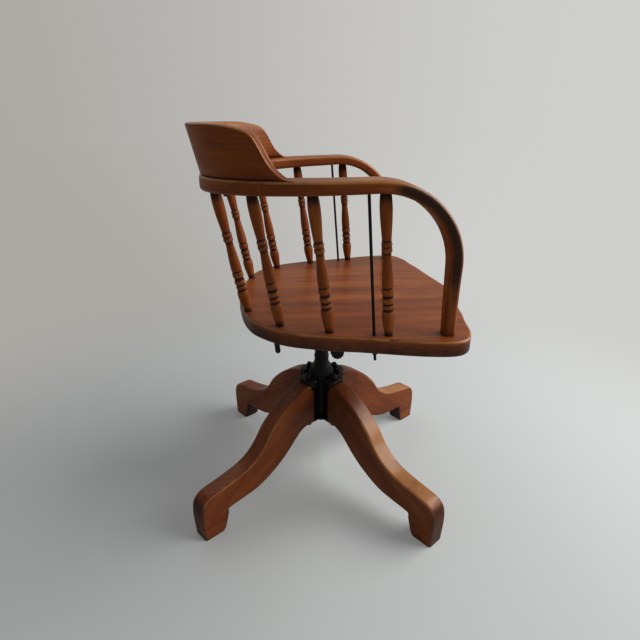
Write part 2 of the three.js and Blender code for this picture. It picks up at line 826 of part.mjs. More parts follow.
/** Stations of half the crest, from its end to the middle of the back. */
function crestStations(forward) {
  const end = crestEndShares.slice(0, -1).map(([place]) => shareAtOuterY(place * rearReach - forward));
  return [...end, ...steps(end[end.length - 1], 1, crestBackSteps).slice(1)];
}
const crestRun = [
  ...crestStations(crestLeftForward),
  ...crestStations(0).slice(0, -1).reverse().map((share) => 2 - share),
];
const crestRail = piece("crest_rail", carved([loft(crestRun.map(crestRing))], crestCuts), wood);

// Legs

const legRun = legReach - legRoot;
const legPoint = ([run, rise]) => new THREE.Vector2(legRoot + run * legRun, rise * legTop);
const legShape = new THREE.Shape();
legShape.moveTo(legRoot, legTop);
legShape.lineTo(legPoint(legOutlineShares[0]).x, legTop);
legShape.splineThru(legOutlineShares.slice(1).map(legPoint));
legShape.lineTo(legPoint(legUndersideShares[0]).x, 0);
legShape.splineThru(legUndersideShares.slice(1).map(legPoint));
legShape.lineTo(legRoot, legRootBottom);
legShape.closePath();

/** One leg along +X, its thickness across Y. */
function legGeometry() {
  const half = legThickness / 2;
  const board = slab(legShape, -half, half, legEdge, 1, legCurveSteps).rotateX(quarterTurn);
  const corner = legRoot + legChamfer;
  const far = legReach + cutOverrun;
  const near = legRoot - cutOverrun;
  const slope = half - legChamfer - cutOverrun;
  const hole = post(boreFor(legBoltRadius, boltSides), -cutOverrun, legTop + cutOverrun, boltSides);
  const plan = outlineOf([[near, -slope], [corner, -half - fitGap], [far, -half - fitGap],
    [far, half + fitGap], [corner, half + fitGap], [near, slope]]);
  const keep = slab(plan, -cutOverrun, legTop + cutOverrun, 0, 1, 1);
  const solid = solidOf(board).intersect(solidOf(keep));
  return geometryOf(solid.subtract(solidOf(hole.translate(legBoltPlace, 0, 0))));
}
const legNames = ["leg_rear_left", "leg_rear_right", "leg_front_right", "leg_front_left"];
const legAngles = legNames.map((_, at) => legTurn + (at * fullTurn) / legCount);
const legs = legNames.map((name, at) => {
  const leg = piece(name, legGeometry(), legWood);
  leg.rotation.z = legAngles[at];
  return leg;
});

// Hub casting, foot plate, bolts and nuts, in a frame turned with the legs

const screwBore = boreFor(screwRadius, roundSides);
const lugInner = legRoot;
const lugStraight = lugReach - lugCorner;
const lugShape = new THREE.Shape();
lugShape.moveTo(lugInner, -lugHalfWidth);
lugShape.lineTo(lugStraight, -lugHalfWidth);
lugShape.absarc(lugStraight, lugCorner - lugHalfWidth, lugCorner, -quarterTurn, 0, false);
lugShape.absarc(lugStraight, lugHalfWidth - lugCorner, lugCorner, 0, quarterTurn, false);
lugShape.lineTo(lugInner, lugHalfWidth);
lugShape.closePath();

/** Pieces of the hub at one leg: an arm and a rib to its root, a wall up it and a saddle over its top. */
function hubLug() {
  const arm = block([0, -hubArmHalfWidth, hubPlateBottom], [hubWallOuter, hubArmHalfWidth, hubPlateTop]);
  const wall = block(
    [hubWallInner, -hubArmHalfWidth, hubPlateBottom],
    [hubWallOuter, hubArmHalfWidth, lugTop],
  );
  const neck = block([hubWallInner, -hubArmHalfWidth, lugBottom], [lugStraight, hubArmHalfWidth, lugTop]);
  const rib = block([0, -hubRibHalfWidth, legRootBottom], [hubWallOuter, hubRibHalfWidth, hubPlateTop]);
  const saddle = slab(lugShape, lugBottom - lugFlangeDepth, lugTop, 0, 1, edgeSteps + 1);
  const legHalf = legThickness / 2 + fitGap;
  const legSpace = block(
    [lugInner - cutOverrun, -legHalf, lugBottom - lugFlangeDepth - cutOverrun],
    [lugReach + cutOverrun, legHalf, lugBottom],
  );
  return geometryOf([arm, wall, neck, rib].map(solidOf).reduce(
    (sum, next) => sum.add(next),
    solidOf(saddle).subtract(solidOf(legSpace)),
  ));
}
const hubParts = [
  post(hubTubeRadius, hubTubeBottom, hubPlateTop, roundSides),
  post(hubPlateRadius, hubPlateBottom, hubPlateTop, roundSides),
  post(hubBossRadius, hubPlateBottom, hubBossTop, roundSides),
];
const hubHoles = [post(screwBore, hubTubeBottom - cutOverrun, hubBossTop + cutOverrun, roundSides)];
for (const angle of legAngles) {
  hubParts.push(hubLug().rotateZ(angle));
  const bore = boreFor(legBoltRadius, boltSides);
  const hole = post(bore, lugBottom - cutOverrun, lugTop + cutOverrun, boltSides);
  hubHoles.push(hole.translate(legBoltPlace, 0, 0).rotateZ(angle));
}
const hubCasting = piece("hub_casting", carved(hubParts, hubHoles), blackIron);

const footOutline = [];
for (const angle of legAngles) {
  const turnBy = ([x, y]) => [
    x * Math.cos(angle) - y * Math.sin(angle),
    x * Math.sin(angle) + y * Math.cos(angle),
  ];
  const waist = footPlateWaist * Math.SQRT1_2;
  footOutline.push(...[
    [footPlateReach - footPlateCorner, -footPlateHalfWidth],
    [footPlateReach, -footPlateHalfWidth + footPlateCorner],
    [footPlateReach, footPlateHalfWidth - footPlateCorner],
    [footPlateReach - footPlateCorner, footPlateHalfWidth],
    [waist + footPlateCorner, waist],
  ].map(turnBy));
}
const footPlate = slab(outlineOf(footOutline), footPlateBottom, footPlateTop, 0, 1, 1);
const footHoles = legAngles.map((angle) => {
  const bore = boreFor(legBoltRadius, boltSides);
  const hole = post(bore, footPlateBottom - cutOverrun, footPlateTop + cutOverrun, boltSides);
  return hole.translate(legBoltPlace, 0, 0).rotateZ(angle);
});
const tubeHole = post(
  boreFor(hubTubeRadius, roundSides),
  footPlateBottom - cutOverrun,
  footPlateTop + cutOverrun,
  roundSides,
);
const hubFootPlate = piece("hub_foot_plate", carved([footPlate], [tubeHole, ...footHoles]), blackIron);

const legNutTop = footPlateBottom - fitGap;
const legNutBottom = legNutTop - legNutHeight;
const legBoltSeat = lugTop + fitGap;
const legFasteners = [];
for (const [at, angle] of legAngles.entries()) {
  const place = new THREE.Matrix4().makeRotationZ(angle);
  place.multiply(new THREE.Matrix4().makeTranslation(legBoltPlace, 0, 0));
  const bolt = turned([
    [0, legNutBottom - legBoltTail],
    [legBoltRadius, legNutBottom - legBoltTail],
    [legBoltRadius, legBoltSeat],
    [legBoltHeadRadius, legBoltSeat],
    [legBoltHeadRadius, legBoltSeat + legBoltHeadHeight / 2],
    [legBoltHeadRadius / 2, legBoltSeat + legBoltHeadHeight],
    [0, legBoltSeat + legBoltHeadHeight],
  ], boltSides);
  const nutBore = boreFor(legBoltRadius, hexSides);
  const nut = ring(nutBore, legNutRadius, legNutBottom, legNutTop, hexSides);
  for (const [name, geometry] of [["bolt", bolt], ["nut", nut]]) {
    const mesh = piece(legNames[at].replace("leg", `leg_${name}`), geometry, blackIron);
    mesh.applyMatrix4(place);
    legFasteners.push(mesh);
  }
}

// Thrust washer with its key, screw with its keyway, and the hand wheel

const keyInner = screwRadius - keyDepth + fitGap;
const keyHalf = keyWidth / 2 - fitGap;
const washerRing = ring(screwBore, washerRadius, washerBottom, washerTop, roundSides);
const washerKey = block([-keyHalf, keyInner, washerBottom], [keyHalf, screwBore + fitGap, washerTop]);
const thrustWasher = piece("thrust_washer", carved([washerRing, washerKey]), steel);

const keyway = block(
  [-keyWidth / 2, screwRadius - keyDepth, screwBottom - cutOverrun],
  [keyWidth / 2, screwRadius + cutOverrun, screwBottom + keywayRun],
);
const headPinZ = headTop - headPinDrop;
const pinBore = boreFor(headPinRadius, smallSides);
/** A round bar along X, centred on a place in the Y-Z plane. */
function crossBar(radius, halfLength, y, z, count) {
  return post(radius, -halfLength, halfLength, count).rotateY(quarterTurn).translate(0, y, z);
}
const pinHole = crossBar(pinBore, headCollarRadius + cutOverrun, 0, headPinZ, smallSides);
const screwSpindle = piece(
  "screw_spindle",
  carved([post(screwRadius, screwBottom, screwTop, roundSides)], [keyway, pinHole]),
  steel,
);
const headPin = piece(
  "head_pin",
  crossBar(headPinRadius, headCollarRadius + headPinProud, 0, headPinZ, smallSides),
  steel,
);

const wheelSkirt = slab(
  flutedOutline(wheelRadius, wheelFluteDepth, wheelFlutes),
  wheelSkirtBottom,
  wheelSkirtTop,
  0,
  1,
  1,
);
const wheelBell = turned([
  [0, wheelSkirtTop - fitGap],
  ...wheelBellShares.map(([out, rise]) => [
    wheelNeckRadius + (wheelRadius - wheelFluteDepth - wheelNeckRadius) * out,
    wheelSkirtTop - (rise === 0 ? fitGap : 0) + wheelBellHeight * rise,
  ]),
  [0, wheelTop],
], roundSides);
const wheelCup = post(
  washerRadius + wheelCupClearance,
  wheelSkirtBottom - cutOverrun,
  washerTop + fitGap,
  roundSides,
);
const wheelBore = post(screwBore, wheelSkirtBottom - cutOverrun, wheelTop + cutOverrun, roundSides);
const handWheel = piece("hand_wheel", carved([wheelSkirt, wheelBell], [wheelCup, wheelBore]), blackIron);

// Tilt head

/** A flat outline in the Y-Z plane, carried across X between two places. */
function crossways(points, fromX, toX) {
  const flat = slab(outlineOf(points), fromX, toX, 0, 1, 1);
  return flat.applyMatrix4(new THREE.Matrix4().set(0, 0, 1, 0, 1, 0, 0, 0, 0, 1, 0, 0, 0, 0, 0, 1));
}
const barrelBore = boreFor(pivotPinRadius, smallSides);
const headCollar = post(headCollarRadius, headBottom, headTop, roundSides);
const headBarrel = crossBar(headBarrelRadius, headBarrelHalfLength, pivotY, pivotZ, roundSides);
const headWeb = block(
  [-headWebHalfWidth, pivotY, headTop - headWebDrop],
  [headWebHalfWidth, 0, headTop],
);
const tiltArm = crossways([
  [0, tiltArmTop],
  [tiltArmReach, tiltArmTop],
  [tiltArmReach, tiltArmBottom],
  [tiltArmGussetRun, tiltArmBottom],
  [headCollarRadius, tiltArmTop - tiltArmGussetDrop],
  [0, tiltArmTop - tiltArmGussetDrop],
], -tiltArmHalfWidth, tiltArmHalfWidth);
const boltYAt = (z) => tiltBoltY + (z - tiltBoltZ) * Math.tan(tiltBoltLean);
const boltReach = tiltBoltRadius / Math.cos(tiltBoltLean) + fitGap * 2;
const slotHalf = boreFor(tiltBoltRadius, smallSides);
const tiltSlot = block(
  [-slotHalf, boltYAt(tiltArmBottom) - boltReach, tiltArmBottom - cutOverrun],
  [slotHalf, boltYAt(tiltArmTop) + boltReach + tiltBoltTravel, tiltArmTop + cutOverrun],
);
const headCuts = [
  post(screwBore, headBottom - cutOverrun, screwTop + fitGap, roundSides),
  crossBar(barrelBore, headBarrelHalfLength + cutOverrun, pivotY, pivotZ, smallSides),
  crossBar(pinBore, headCollarRadius + cutOverrun, 0, headPinZ, smallSides),
  tiltSlot,
];
const tiltHead = piece(
  "tilt_head",
  carved([headCollar, headBarrel, headWeb, tiltArm], headCuts),
  blackIron,
);

// Seat iron

const earOuter = ironRailX + ironEarInset;
const earInner = earOuter - ironEarThickness;
const ironParts = [];
for (const sign of [1, -1]) {
  const inner = sign * ironRailX - ironRailWidth / 2;
  const outer = sign * ironRailX + ironRailWidth / 2;
  ironParts.push(block([inner, ironFront, ironBottom], [outer, ironRear, ironTop]));
  const ear = [];
  for (const share of steps(0, 1, earEndSteps)) {
    const angle = -Math.PI * share;
    ear.push([
      pivotY + ironEarEndRadius * Math.cos(angle),
      pivotZ + ironEarEndRadius * Math.sin(angle),
    ]);
  }
  ear.push([pivotY - ironEarTopHalfWidth, ironBottom + fitGap]);
  ear.push([pivotY + ironEarTopHalfWidth, ironBottom + fitGap]);
  const [from, to] = sign > 0 ? [earInner, earOuter] : [-earOuter, -earInner];
  ironParts.push(crossways(ear, from, to));
}
const boltBridgeY = boltYAt(ironBridgeBottom + ironBridgeThickness / 2);
ironParts.push(block(
  [-ironRailX, boltBridgeY - ironBridgeHalfWidth, ironBridgeBottom],
  [ironRailX, boltBridgeY + ironBridgeHalfWidth, ironBridgeTop],
));
ironParts.push(block(
  [-ironRailX, ironCrossY - ironCrossHalfWidth, ironBridgeBottom],
  [ironRailX, ironCrossY + ironCrossHalfWidth, ironBridgeTop],
));

const leaning = new THREE.Matrix4().makeRotationX(-tiltBoltLean).setPosition(0, tiltBoltY, tiltBoltZ);
const alongLean = (z) => (z - tiltBoltZ) / Math.cos(tiltBoltLean);
const leanRise = (radius) => radius * Math.tan(tiltBoltLean);
const tiltBoltTop = alongLean(ironBridgeTop - leanRise(tiltBoltRadius));
const boltBore = post(
  boreFor(tiltBoltRadius, smallSides),
  alongLean(ironBridgeBottom) - cutOverrun,
  alongLean(ironBridgeTop) + cutOverrun,
  smallSides,
).applyMatrix4(leaning);
const earBore = crossBar(barrelBore, earOuter + cutOverrun, pivotY, pivotZ, smallSides);
const seatIron = piece(
  "seat_iron",
  carved(ironParts, [boltBore, earBore, ...ironScrewCuts]),
  blackIron,
);

// Pivot pin, its cap nuts and washers

const capNutInner = earOuter + fitGap;
const capNutOuter = capNutInner + capNutLength;
const pivotPinHalf = capNutOuter - capNutWall - fitGap;
const pivotPin = piece(
  "pivot_pin",
  crossBar(pivotPinRadius, pivotPinHalf, pivotY, pivotZ, smallSides),
  steel,
);
const capNutBody = slab(
  flutedOutline(capNutRadius, capNutFluteDepth, capNutFlutes),
  capNutInner,
  capNutOuter,
  capNutEdge,
  1,
  1,
);
const capNutBore = post(barrelBore, capNutInner - cutOverrun, pivotPinHalf + fitGap, smallSides);
const capNuts = sides.map(({ name, sign }) => {
  const nut = carved([capNutBody], [capNutBore]).rotateY(sign * quarterTurn);
  const mesh = piece(`cap_nut_${name}`, nut, blackIron);
  mesh.position.set(0, pivotY, pivotZ);
  return mesh;
});
const pivotWashers = sides.map(({ name, sign }) => {
  const low = headBarrelHalfLength + fitGap;
  const washer = ring(barrelBore, pivotWasherRadius, low, earInner - fitGap, smallSides);
  const mesh = piece(`pivot_washer_${name}`, washer.rotateY(sign * quarterTurn), steel);
  mesh.position.set(0, pivotY, pivotZ);
  return mesh;
});

// Leaning tilt bolt, its nut, the spring and the cup above it, built along their own axis

const boltGroup = new THREE.Group();
boltGroup.position.set(0, tiltBoltY, tiltBoltZ);
boltGroup.rotation.x = -tiltBoltLean;
boltGroup.add(piece("tilt_bolt", turned([
  [0, 0],
  [tiltBoltRadius * Math.SQRT1_2, tiltBoltRadius * (1 - Math.SQRT1_2)],
  [tiltBoltRadius, tiltBoltRadius],
  [tiltBoltRadius, tiltBoltTop],
  [0, tiltBoltTop],
], smallSides), steel));
const tiltNutTop = alongLean(tiltArmBottom - fitGap - leanRise(tiltNutRadius));
boltGroup.add(piece("tilt_nut", ring(
  boreFor(tiltBoltRadius, hexSides),
  tiltNutRadius,
  tiltNutTop - tiltNutHeight,
  tiltNutTop,
  hexSides,
), blackIron));
const springCupTop = alongLean(ironBridgeBottom - fitGap - leanRise(springCupRadius));
const springCupBottom = springCupTop - springCupThickness;
boltGroup.add(piece("spring_cup", ring(
  boreFor(tiltBoltRadius, smallSides),
  springCupRadius,
  springCupBottom,
  springCupTop,
  smallSides,
), blackIron));

/** Points along the spring's wire: straight ends along the axis, and turns at an even pitch. */
function springPath(bottom, top) {
  const straight = springWire;
  const bend = springWire;
  const low = bottom + straight + bend;
  const high = top - straight - bend;
  const bendTurn = bend / springRadius;
  const points = [[0, bottom], [0, bottom + straight]];
  for (let step = 1; step < springBendSteps; step += 1) {
    const angle = (step / springBendSteps) * quarterTurn;
    points.push([bendTurn * (1 - Math.cos(angle)), bottom + straight + bend * Math.sin(angle)]);
  }
  const count = Math.round(springTurns * springSteps);
  for (let step = 0; step <= count; step += 1) {
    points.push([bendTurn + (step / springSteps) * fullTurn, low + ((high - low) * step) / count]);
  }
  const last = points[points.length - 1][0];
  for (let step = springBendSteps - 1; step > 0; step -= 1) {
    const angle = (step / springBendSteps) * quarterTurn;
    points.push([last + bendTurn * Math.cos(angle), high + bend * (1 - Math.sin(angle))]);
  }
  points.push([last + bendTurn, top - straight], [last + bendTurn, top]);
  return points.map(([turn, z]) => new THREE.Vector3(
    springRadius * Math.cos(turn),
    springRadius * Math.sin(turn),
    z,
  ));
}

/** Sweeps the round wire along the spring's points. */
function springGeometry(points) {
  const rings = points.map((point, at) => {
    const before = points[Math.max(0, at - 1)];
    const after = points[Math.min(points.length - 1, at + 1)];
    const along = after.clone().sub(before).normalize();
    const out = new THREE.Vector3(point.x, point.y, 0).normalize();
    out.addScaledVector(along, -out.dot(along)).normalize();
    const aside = along.clone().cross(out);
    return Array.from({ length: springSides }, (_, side) => {
      const angle = (side / springSides) * fullTurn;
      return point.clone()
        .addScaledVector(out, (springWire / 2) * Math.cos(angle))
        .addScaledVector(aside, (springWire / 2) * Math.sin(angle));
    });
  });
  return loft(rings);
}

/** Least clear distance between turns of the wire. */
function leastGap(points) {
  let least = Infinity;
  points.forEach((one, at) => {
    points.slice(at + springSteps / 2).forEach((other) => {
      least = Math.min(least, one.distanceTo(other) - springWire);
    });
  });
  return least;
}
const springLow = alongLean(tiltArmTop + fitGap + leanRise(springRadius + springWire / 2));
const springPoints = springPath(springLow, springCupBottom - fitGap);
const springGap = leastGap(springPoints);
console.log(`tilt_spring: least gap to itself ${springGap.toFixed(2)} mm, over ${springLeastGap} mm`);
boltGroup.add(piece("tilt_spring", springGeometry(springPoints), steel));

// Assembly

const base = new THREE.Group();
base.add(...legs, hubCasting, hubFootPlate, ...legFasteners);

const column = new THREE.Group();
column.add(screwSpindle, tiltHead, headPin);

const seat = new THREE.Group();
seat.add(seatBoard, armLeft, armRight, backRail, crestRail, ...spindles, ...rodPieces);
seat.add(...crestScrews, ...dowels, seatIron, ...ironScrews);
seat.add(pivotPin, ...capNuts, ...pivotWashers, boltGroup);

const chair = new THREE.Group();
chair.add(base, thrustWasher, handWheel, column, seat);

export default chair;
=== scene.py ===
"""Dresses the bankers swivel chair: wood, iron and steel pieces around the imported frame."""

import json
import logging
import math
from dataclasses import dataclass
from enum import Enum
from typing import Any, Callable, Iterable, Sequence, Union

import bpy
import numpy as np
from mathutils import Matrix, Vector

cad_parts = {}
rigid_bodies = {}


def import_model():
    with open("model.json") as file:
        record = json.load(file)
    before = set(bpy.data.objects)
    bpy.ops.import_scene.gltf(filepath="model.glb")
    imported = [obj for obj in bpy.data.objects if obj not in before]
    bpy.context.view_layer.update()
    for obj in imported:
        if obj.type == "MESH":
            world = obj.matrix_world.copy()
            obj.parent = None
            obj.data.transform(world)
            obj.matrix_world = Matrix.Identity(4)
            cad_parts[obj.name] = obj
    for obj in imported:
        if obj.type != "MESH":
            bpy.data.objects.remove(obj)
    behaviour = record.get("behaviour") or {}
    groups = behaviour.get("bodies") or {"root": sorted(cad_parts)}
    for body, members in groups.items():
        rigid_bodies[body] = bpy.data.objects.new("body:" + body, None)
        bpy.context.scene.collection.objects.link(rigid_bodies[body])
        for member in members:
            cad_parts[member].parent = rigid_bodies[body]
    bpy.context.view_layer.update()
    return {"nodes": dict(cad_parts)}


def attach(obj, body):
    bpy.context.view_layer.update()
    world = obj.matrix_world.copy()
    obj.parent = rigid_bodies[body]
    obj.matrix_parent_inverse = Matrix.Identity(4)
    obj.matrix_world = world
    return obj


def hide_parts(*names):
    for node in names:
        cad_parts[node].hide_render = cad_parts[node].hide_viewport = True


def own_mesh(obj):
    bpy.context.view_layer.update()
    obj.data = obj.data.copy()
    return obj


Array = np.ndarray
Value = Union["Signal", float]
Number = Union[float, Array]
Span = tuple[float, float]
Triple = tuple[float, float, float]
Table = tuple[Span, ...]
Rows = Union[Array, Sequence[Sequence[float]]]

MM = 0.001
GAP = 0.3
THREAD_SHARP = 60.0
QUARTER = math.pi / 2
TURN = math.pi * 2

# Sizes that several pieces share, in millimetres
SEAT_TOP = 440.0
SEAT_THICKNESS = 28.0
PIVOT_Y = -26.5
PIVOT_Z = 327.0
TILT_ARM_LOW = 340.0
TILT_ARM_HIGH = 349.0
SCREW_BORE = 11.4
LEG_ROOT = 31.0
LEG_NAMES = ("rear_left", "rear_right", "front_right", "front_left")
LEG_TURN = 37.7

log = logging.getLogger("chair")


class Body(str, Enum):
    """The bodies that the pieces ride on."""

    BASE = "base"
    WASHER = "washer"
    WHEEL = "wheel"
    COLUMN = "column"
    SEAT = "seat"


class Side(Enum):
    """The sitter's sides, with the sign of X on each."""

    LEFT = 1.0
    RIGHT = -1.0

    @property
    def word(self) -> str:
        """The side's name as the nodes spell it."""
        return self.name.lower()


# Curves and sections


def held(values: Number, low: float = 0.0, high: float = 1.0) -> Array:
    """Values cut off below one end and above the other."""
    return np.clip(values, low, high)


def unit(rows: Array) -> Array:
    """Rows of vectors, each drawn out or in to the length 1."""
    return rows / np.maximum(np.linalg.norm(rows, axis=1), 1e-9)[:, None]


def angles(count: int) -> Array:
    """Even angles round a full turn."""
    return np.arange(count) * TURN / count


def hermite(table: Table, places: Array) -> Array:
    """Reads a table smoothly and without overshoot.

    Between two rows the value is the cubic through both, whose slopes are the harmonic
    mean of the straight slopes on either side, and level where those differ in sign.

    Args:
        table: rows of place and value, places rising.
        places: where to read it; outside the table its end values hold.

    Returns:
        The values at the places.
    """
    x, y = np.array(table, float).T
    run = np.diff(x)
    slope = np.diff(y) / run
    same = slope[:-1] * slope[1:] > 0
    both = np.where(same, slope[:-1] + slope[1:], 1.0)
    inner = np.where(same, 2 * slope[:-1] * slope[1:] / both, 0.0)
    tangent = np.concatenate([slope[:1], inner, slope[-1:]])
    at = np.clip(places, x[0], x[-1])
    row = np.clip(np.searchsorted(x, at, side="right") - 1, 0, len(run) - 1)
    t = (at - x[row]) / run[row]
    return (
        y[row] * (2 * t**3 - 3 * t**2 + 1)
        + run[row] * tangent[row] * (t**3 - 2 * t**2 + t)
        + y[row + 1] * (3 * t**2 - 2 * t**3)
        + run[row] * tangent[row + 1] * (t**3 - t**2)
    )


def spline(points: Rows, per_span: int, closed: bool = False) -> Array:
    """Samples the uniform curve through points.

    Each span is the cubic whose slope at a point is half the way from the point before
    to the point after; an open curve repeats its end points.

    Args:
        points: the points that the curve passes through, one a row.
        per_span: samples in each span.
        closed: joins the last point to the first.

    Returns:
        The samples, one a row; an open curve ends on its last point.
    """
    known = np.asarray(points, float)
    count = len(known) if closed else len(known) - 1
    span = np.repeat(np.arange(count), per_span)
    t = np.tile(np.arange(per_span) / per_span, count)[:, None]
    last = len(known) - 1
    rows = (span + step for step in (-1, 0, 1, 2))
    before, low, high, after = (
        known[row % len(known) if closed else np.clip(row, 0, last)] for row in rows
    )
    start = (high - before) / 2
    end = (after - low) / 2
    curve = (
        (2 * low - 2 * high + start + end) * t**3
        + (3 * high - 3 * low - 2 * start - end) * t**2
        + start * t
        + low
    )
    return curve if closed else np.vstack([curve, known[-1:]])


def even_spline(points: Array, shares: Array) -> Array:
    """Reads the curve whose spans are timed by the root of the distance between points.

    Args:
        points: the points that the curve passes through.
        shares: places from 0 to 1, an equal part of them for each span.

    Returns:
        The curve's points at the shares.
    """
    full = np.vstack([2 * points[0] - points[1], points, 2 * points[-1] - points[-2]])
    place = held(shares) * (len(points) - 1)
    span = np.clip(np.floor(place).astype(int), 0, len(points) - 2)
    t = (place - span)[:, None]
    p0, p1, p2, p3 = (full[span + step] for step in range(4))
    d0, d1, d2 = (
        np.sqrt(np.linalg.norm(b - a, axis=1))[:, None] for a, b in ((p0, p1), (p1, p2), (p2, p3))
    )
    start = ((p1 - p0) / d0 - (p2 - p0) / (d0 + d1) + (p2 - p1) / d1) * d1
    end = ((p2 - p1) / d1 - (p3 - p1) / (d1 + d2) + (p3 - p2) / d2) * d1
    return (
        p1
        + start * t
        + (3 * p2 - 3 * p1 - 2 * start - end) * t**2
        + (2 * p1 - 2 * p2 + start + end) * t**3
    )


def run_of(points: Array) -> Array:
    """Distance along a row of points from its first point."""
    return np.concatenate([[0.0], np.cumsum(np.linalg.norm(np.diff(points, axis=0), axis=1))])


def rounded_outline(corners: Rows, radii: Union[float, Sequence[float]], steps: int = 4) -> Array:
    """Rounds the corners of a flat outline.

    Each corner becomes the curve that leaves one side and meets the next at the same
    distance from the corner, weighted towards the corner in the middle.

    Args:
        corners: the corner points, one a row, in order.
        radii: the distance from each corner at which its curve starts.
        steps: straight steps in each curve.

    Returns:
        The rounded outline's points.
    """
    here = np.asarray(corners, float)
    reach = np.broadcast_to(np.asarray(radii, float), len(here))[:, None]
    a, b = ((here + unit(np.roll(here, step, axis=0) - here) * reach)[:, None] for step in (1, -1))
    t = np.linspace(0, 1, steps + 1)[None, :, None]
    curve = (1 - t) ** 2 * a + 2 * t * (1 - t) * here[:, None] + t**2 * b
    return curve.reshape(-1, 2)


# Meshes


def stand(name: str, data: bpy.types.ID) -> bpy.types.Object:
    """Makes an object of a mesh, a lamp or a camera and links it into the scene.

    Args:
        name: its name.
        data: what it shows.

    Returns:
        The object.
    """
    thing = bpy.data.objects.new(name, data)
    bpy.context.scene.collection.objects.link(thing)
    return thing


@dataclass
class Form:
    """One or more closed shells in millimetres, with values for the finish at each point."""

    points: Array
    faces: list[Array]
    grain: Array
    wear: Array
    dirt_and_shade: Array

    @classmethod
    def loft(
        cls,
        rings: Array,
        grain: Array | None = None,
        wear: Number = 0.0,
        dirt_and_shade: Number = 0.0,
        capped: bool = True,
    ) -> "Form":
        """Skins a grid of rings into a shell.

        Point (i, j) of the surface is point j of ring i; each ring closes on itself, and
        the first and last rings are closed with a flat face each.

        Args:
            rings: grid of rings by points by 3.
            grain: coordinates along, across and through the wood, in the same layout.
            wear: 0 to 1, how rubbed the surface is.
            dirt_and_shade: 0 to 1, how much dark deposit and painted shade it has.
            capped: closes the ends; a shell that closes on itself has none.

        Returns:
            The shell, its faces turned outwards.
        """
        rows, columns = rings.shape[:2]
        r = np.arange(rows - 1 if capped else rows)[:, None]
        c = np.arange(columns)[None, :]
        low = (r % rows) * columns
        high = ((r + 1) % rows) * columns
        beside = (c + 1) % columns
        faces = [np.stack([low + c, low + beside, high + beside, high + c], -1).reshape(-1, 4)]
        if capped:
            faces += [c[:, ::-1], c + (rows - 1) * columns]
        flat = rings.reshape(-1, 3)
        lines = flat if grain is None else grain.reshape(-1, 3)
        values = (np.broadcast_to(value, (rows, columns)).ravel().copy() for value in (wear, dirt_and_shade))
        return cls(flat, faces, lines, *values).outward()

    def outward(self) -> "Form":
        """Turns the faces over where the enclosed volume comes out negative.

        Returns:
            The form itself.
        """
        volume = 0.0
        for block in self.faces:
            first = self.points[block[:, 0]]
            for step in range(1, block.shape[1] - 1):
                edge = np.cross(self.points[block[:, step]], self.points[block[:, step + 1]])
                volume += float((first * edge).sum())
        if volume < 0:
            self.faces = [block[:, ::-1] for block in self.faces]
        return self

    def moved(self, matrix: Array) -> "Form":
        """Places the form by a 4 by 4 matrix; its grain stays with the wood."""
        placed = self.points @ matrix[:3, :3].T + matrix[:3, 3]
        return Form(placed, self.faces, self.grain, self.wear, self.dirt_and_shade).outward()

    @staticmethod
    def join(forms: Iterable["Form"]) -> "Form":
        """Puts several shells into one form.

        Args:
            forms: the forms to put together.

        Returns:
            The form of them all.
        """
        kept = list(forms)
        starts = np.cumsum([0] + [len(form.points) for form in kept[:-1]])
        faces = [block + start for form, start in zip(kept, starts) for block in form.faces]
        points, grain, wear, dirt_and_shade = (
            np.concatenate([getattr(form, part) for form in kept])
            for part in ("points", "grain", "wear", "dirt_and_shade")
        )
        return Form(points, faces, grain, wear, dirt_and_shade)

    def build(self, name: str, sharp: float) -> bpy.types.Object:
        """Makes the Blender object, in metres, with smooth shading up to a sharp angle.

        Args:
            name: the piece's name.
            sharp: angle in degrees past which an edge stays sharp.

        Returns:
            The object, at the origin and linked into the scene.
        """
        mesh = bpy.data.meshes.new(name)
        loops = np.concatenate([block.ravel() for block in self.faces]).astype(np.int32)
        sizes = np.concatenate([np.full(len(b), b.shape[1]) for b in self.faces]).astype(np.int32)
        starts = np.concatenate([[0], np.cumsum(sizes)[:-1]]).astype(np.int32)
        mesh.vertices.add(len(self.points))
        mesh.vertices.foreach_set("co", (self.points * MM).astype(np.float32).ravel())
        mesh.loops.add(len(loops))
        mesh.loops.foreach_set("vertex_index", loops)
        mesh.polygons.add(len(sizes))
        mesh.polygons.foreach_set("loop_start", starts)
        mesh.polygons.foreach_set("loop_total", sizes)
        mesh.polygons.foreach_set("use_smooth", np.ones(len(sizes), bool))
        mesh.update(calc_edges=True)
        for label, values in (("wear", self.wear), ("dirt_and_shade", self.dirt_and_shade)):
            layer = mesh.attributes.new(label, "FLOAT", "POINT")
            layer.data.foreach_set("value", held(values).astype(np.float32))
        layer = mesh.attributes.new("grain", "FLOAT_VECTOR", "POINT")
        layer.data.foreach_set("vector", (self.grain * MM).astype(np.float32).ravel())
        mesh.set_sharp_from_angle(angle=math.radians(sharp))
        mesh.validate()
        return stand(name, mesh)


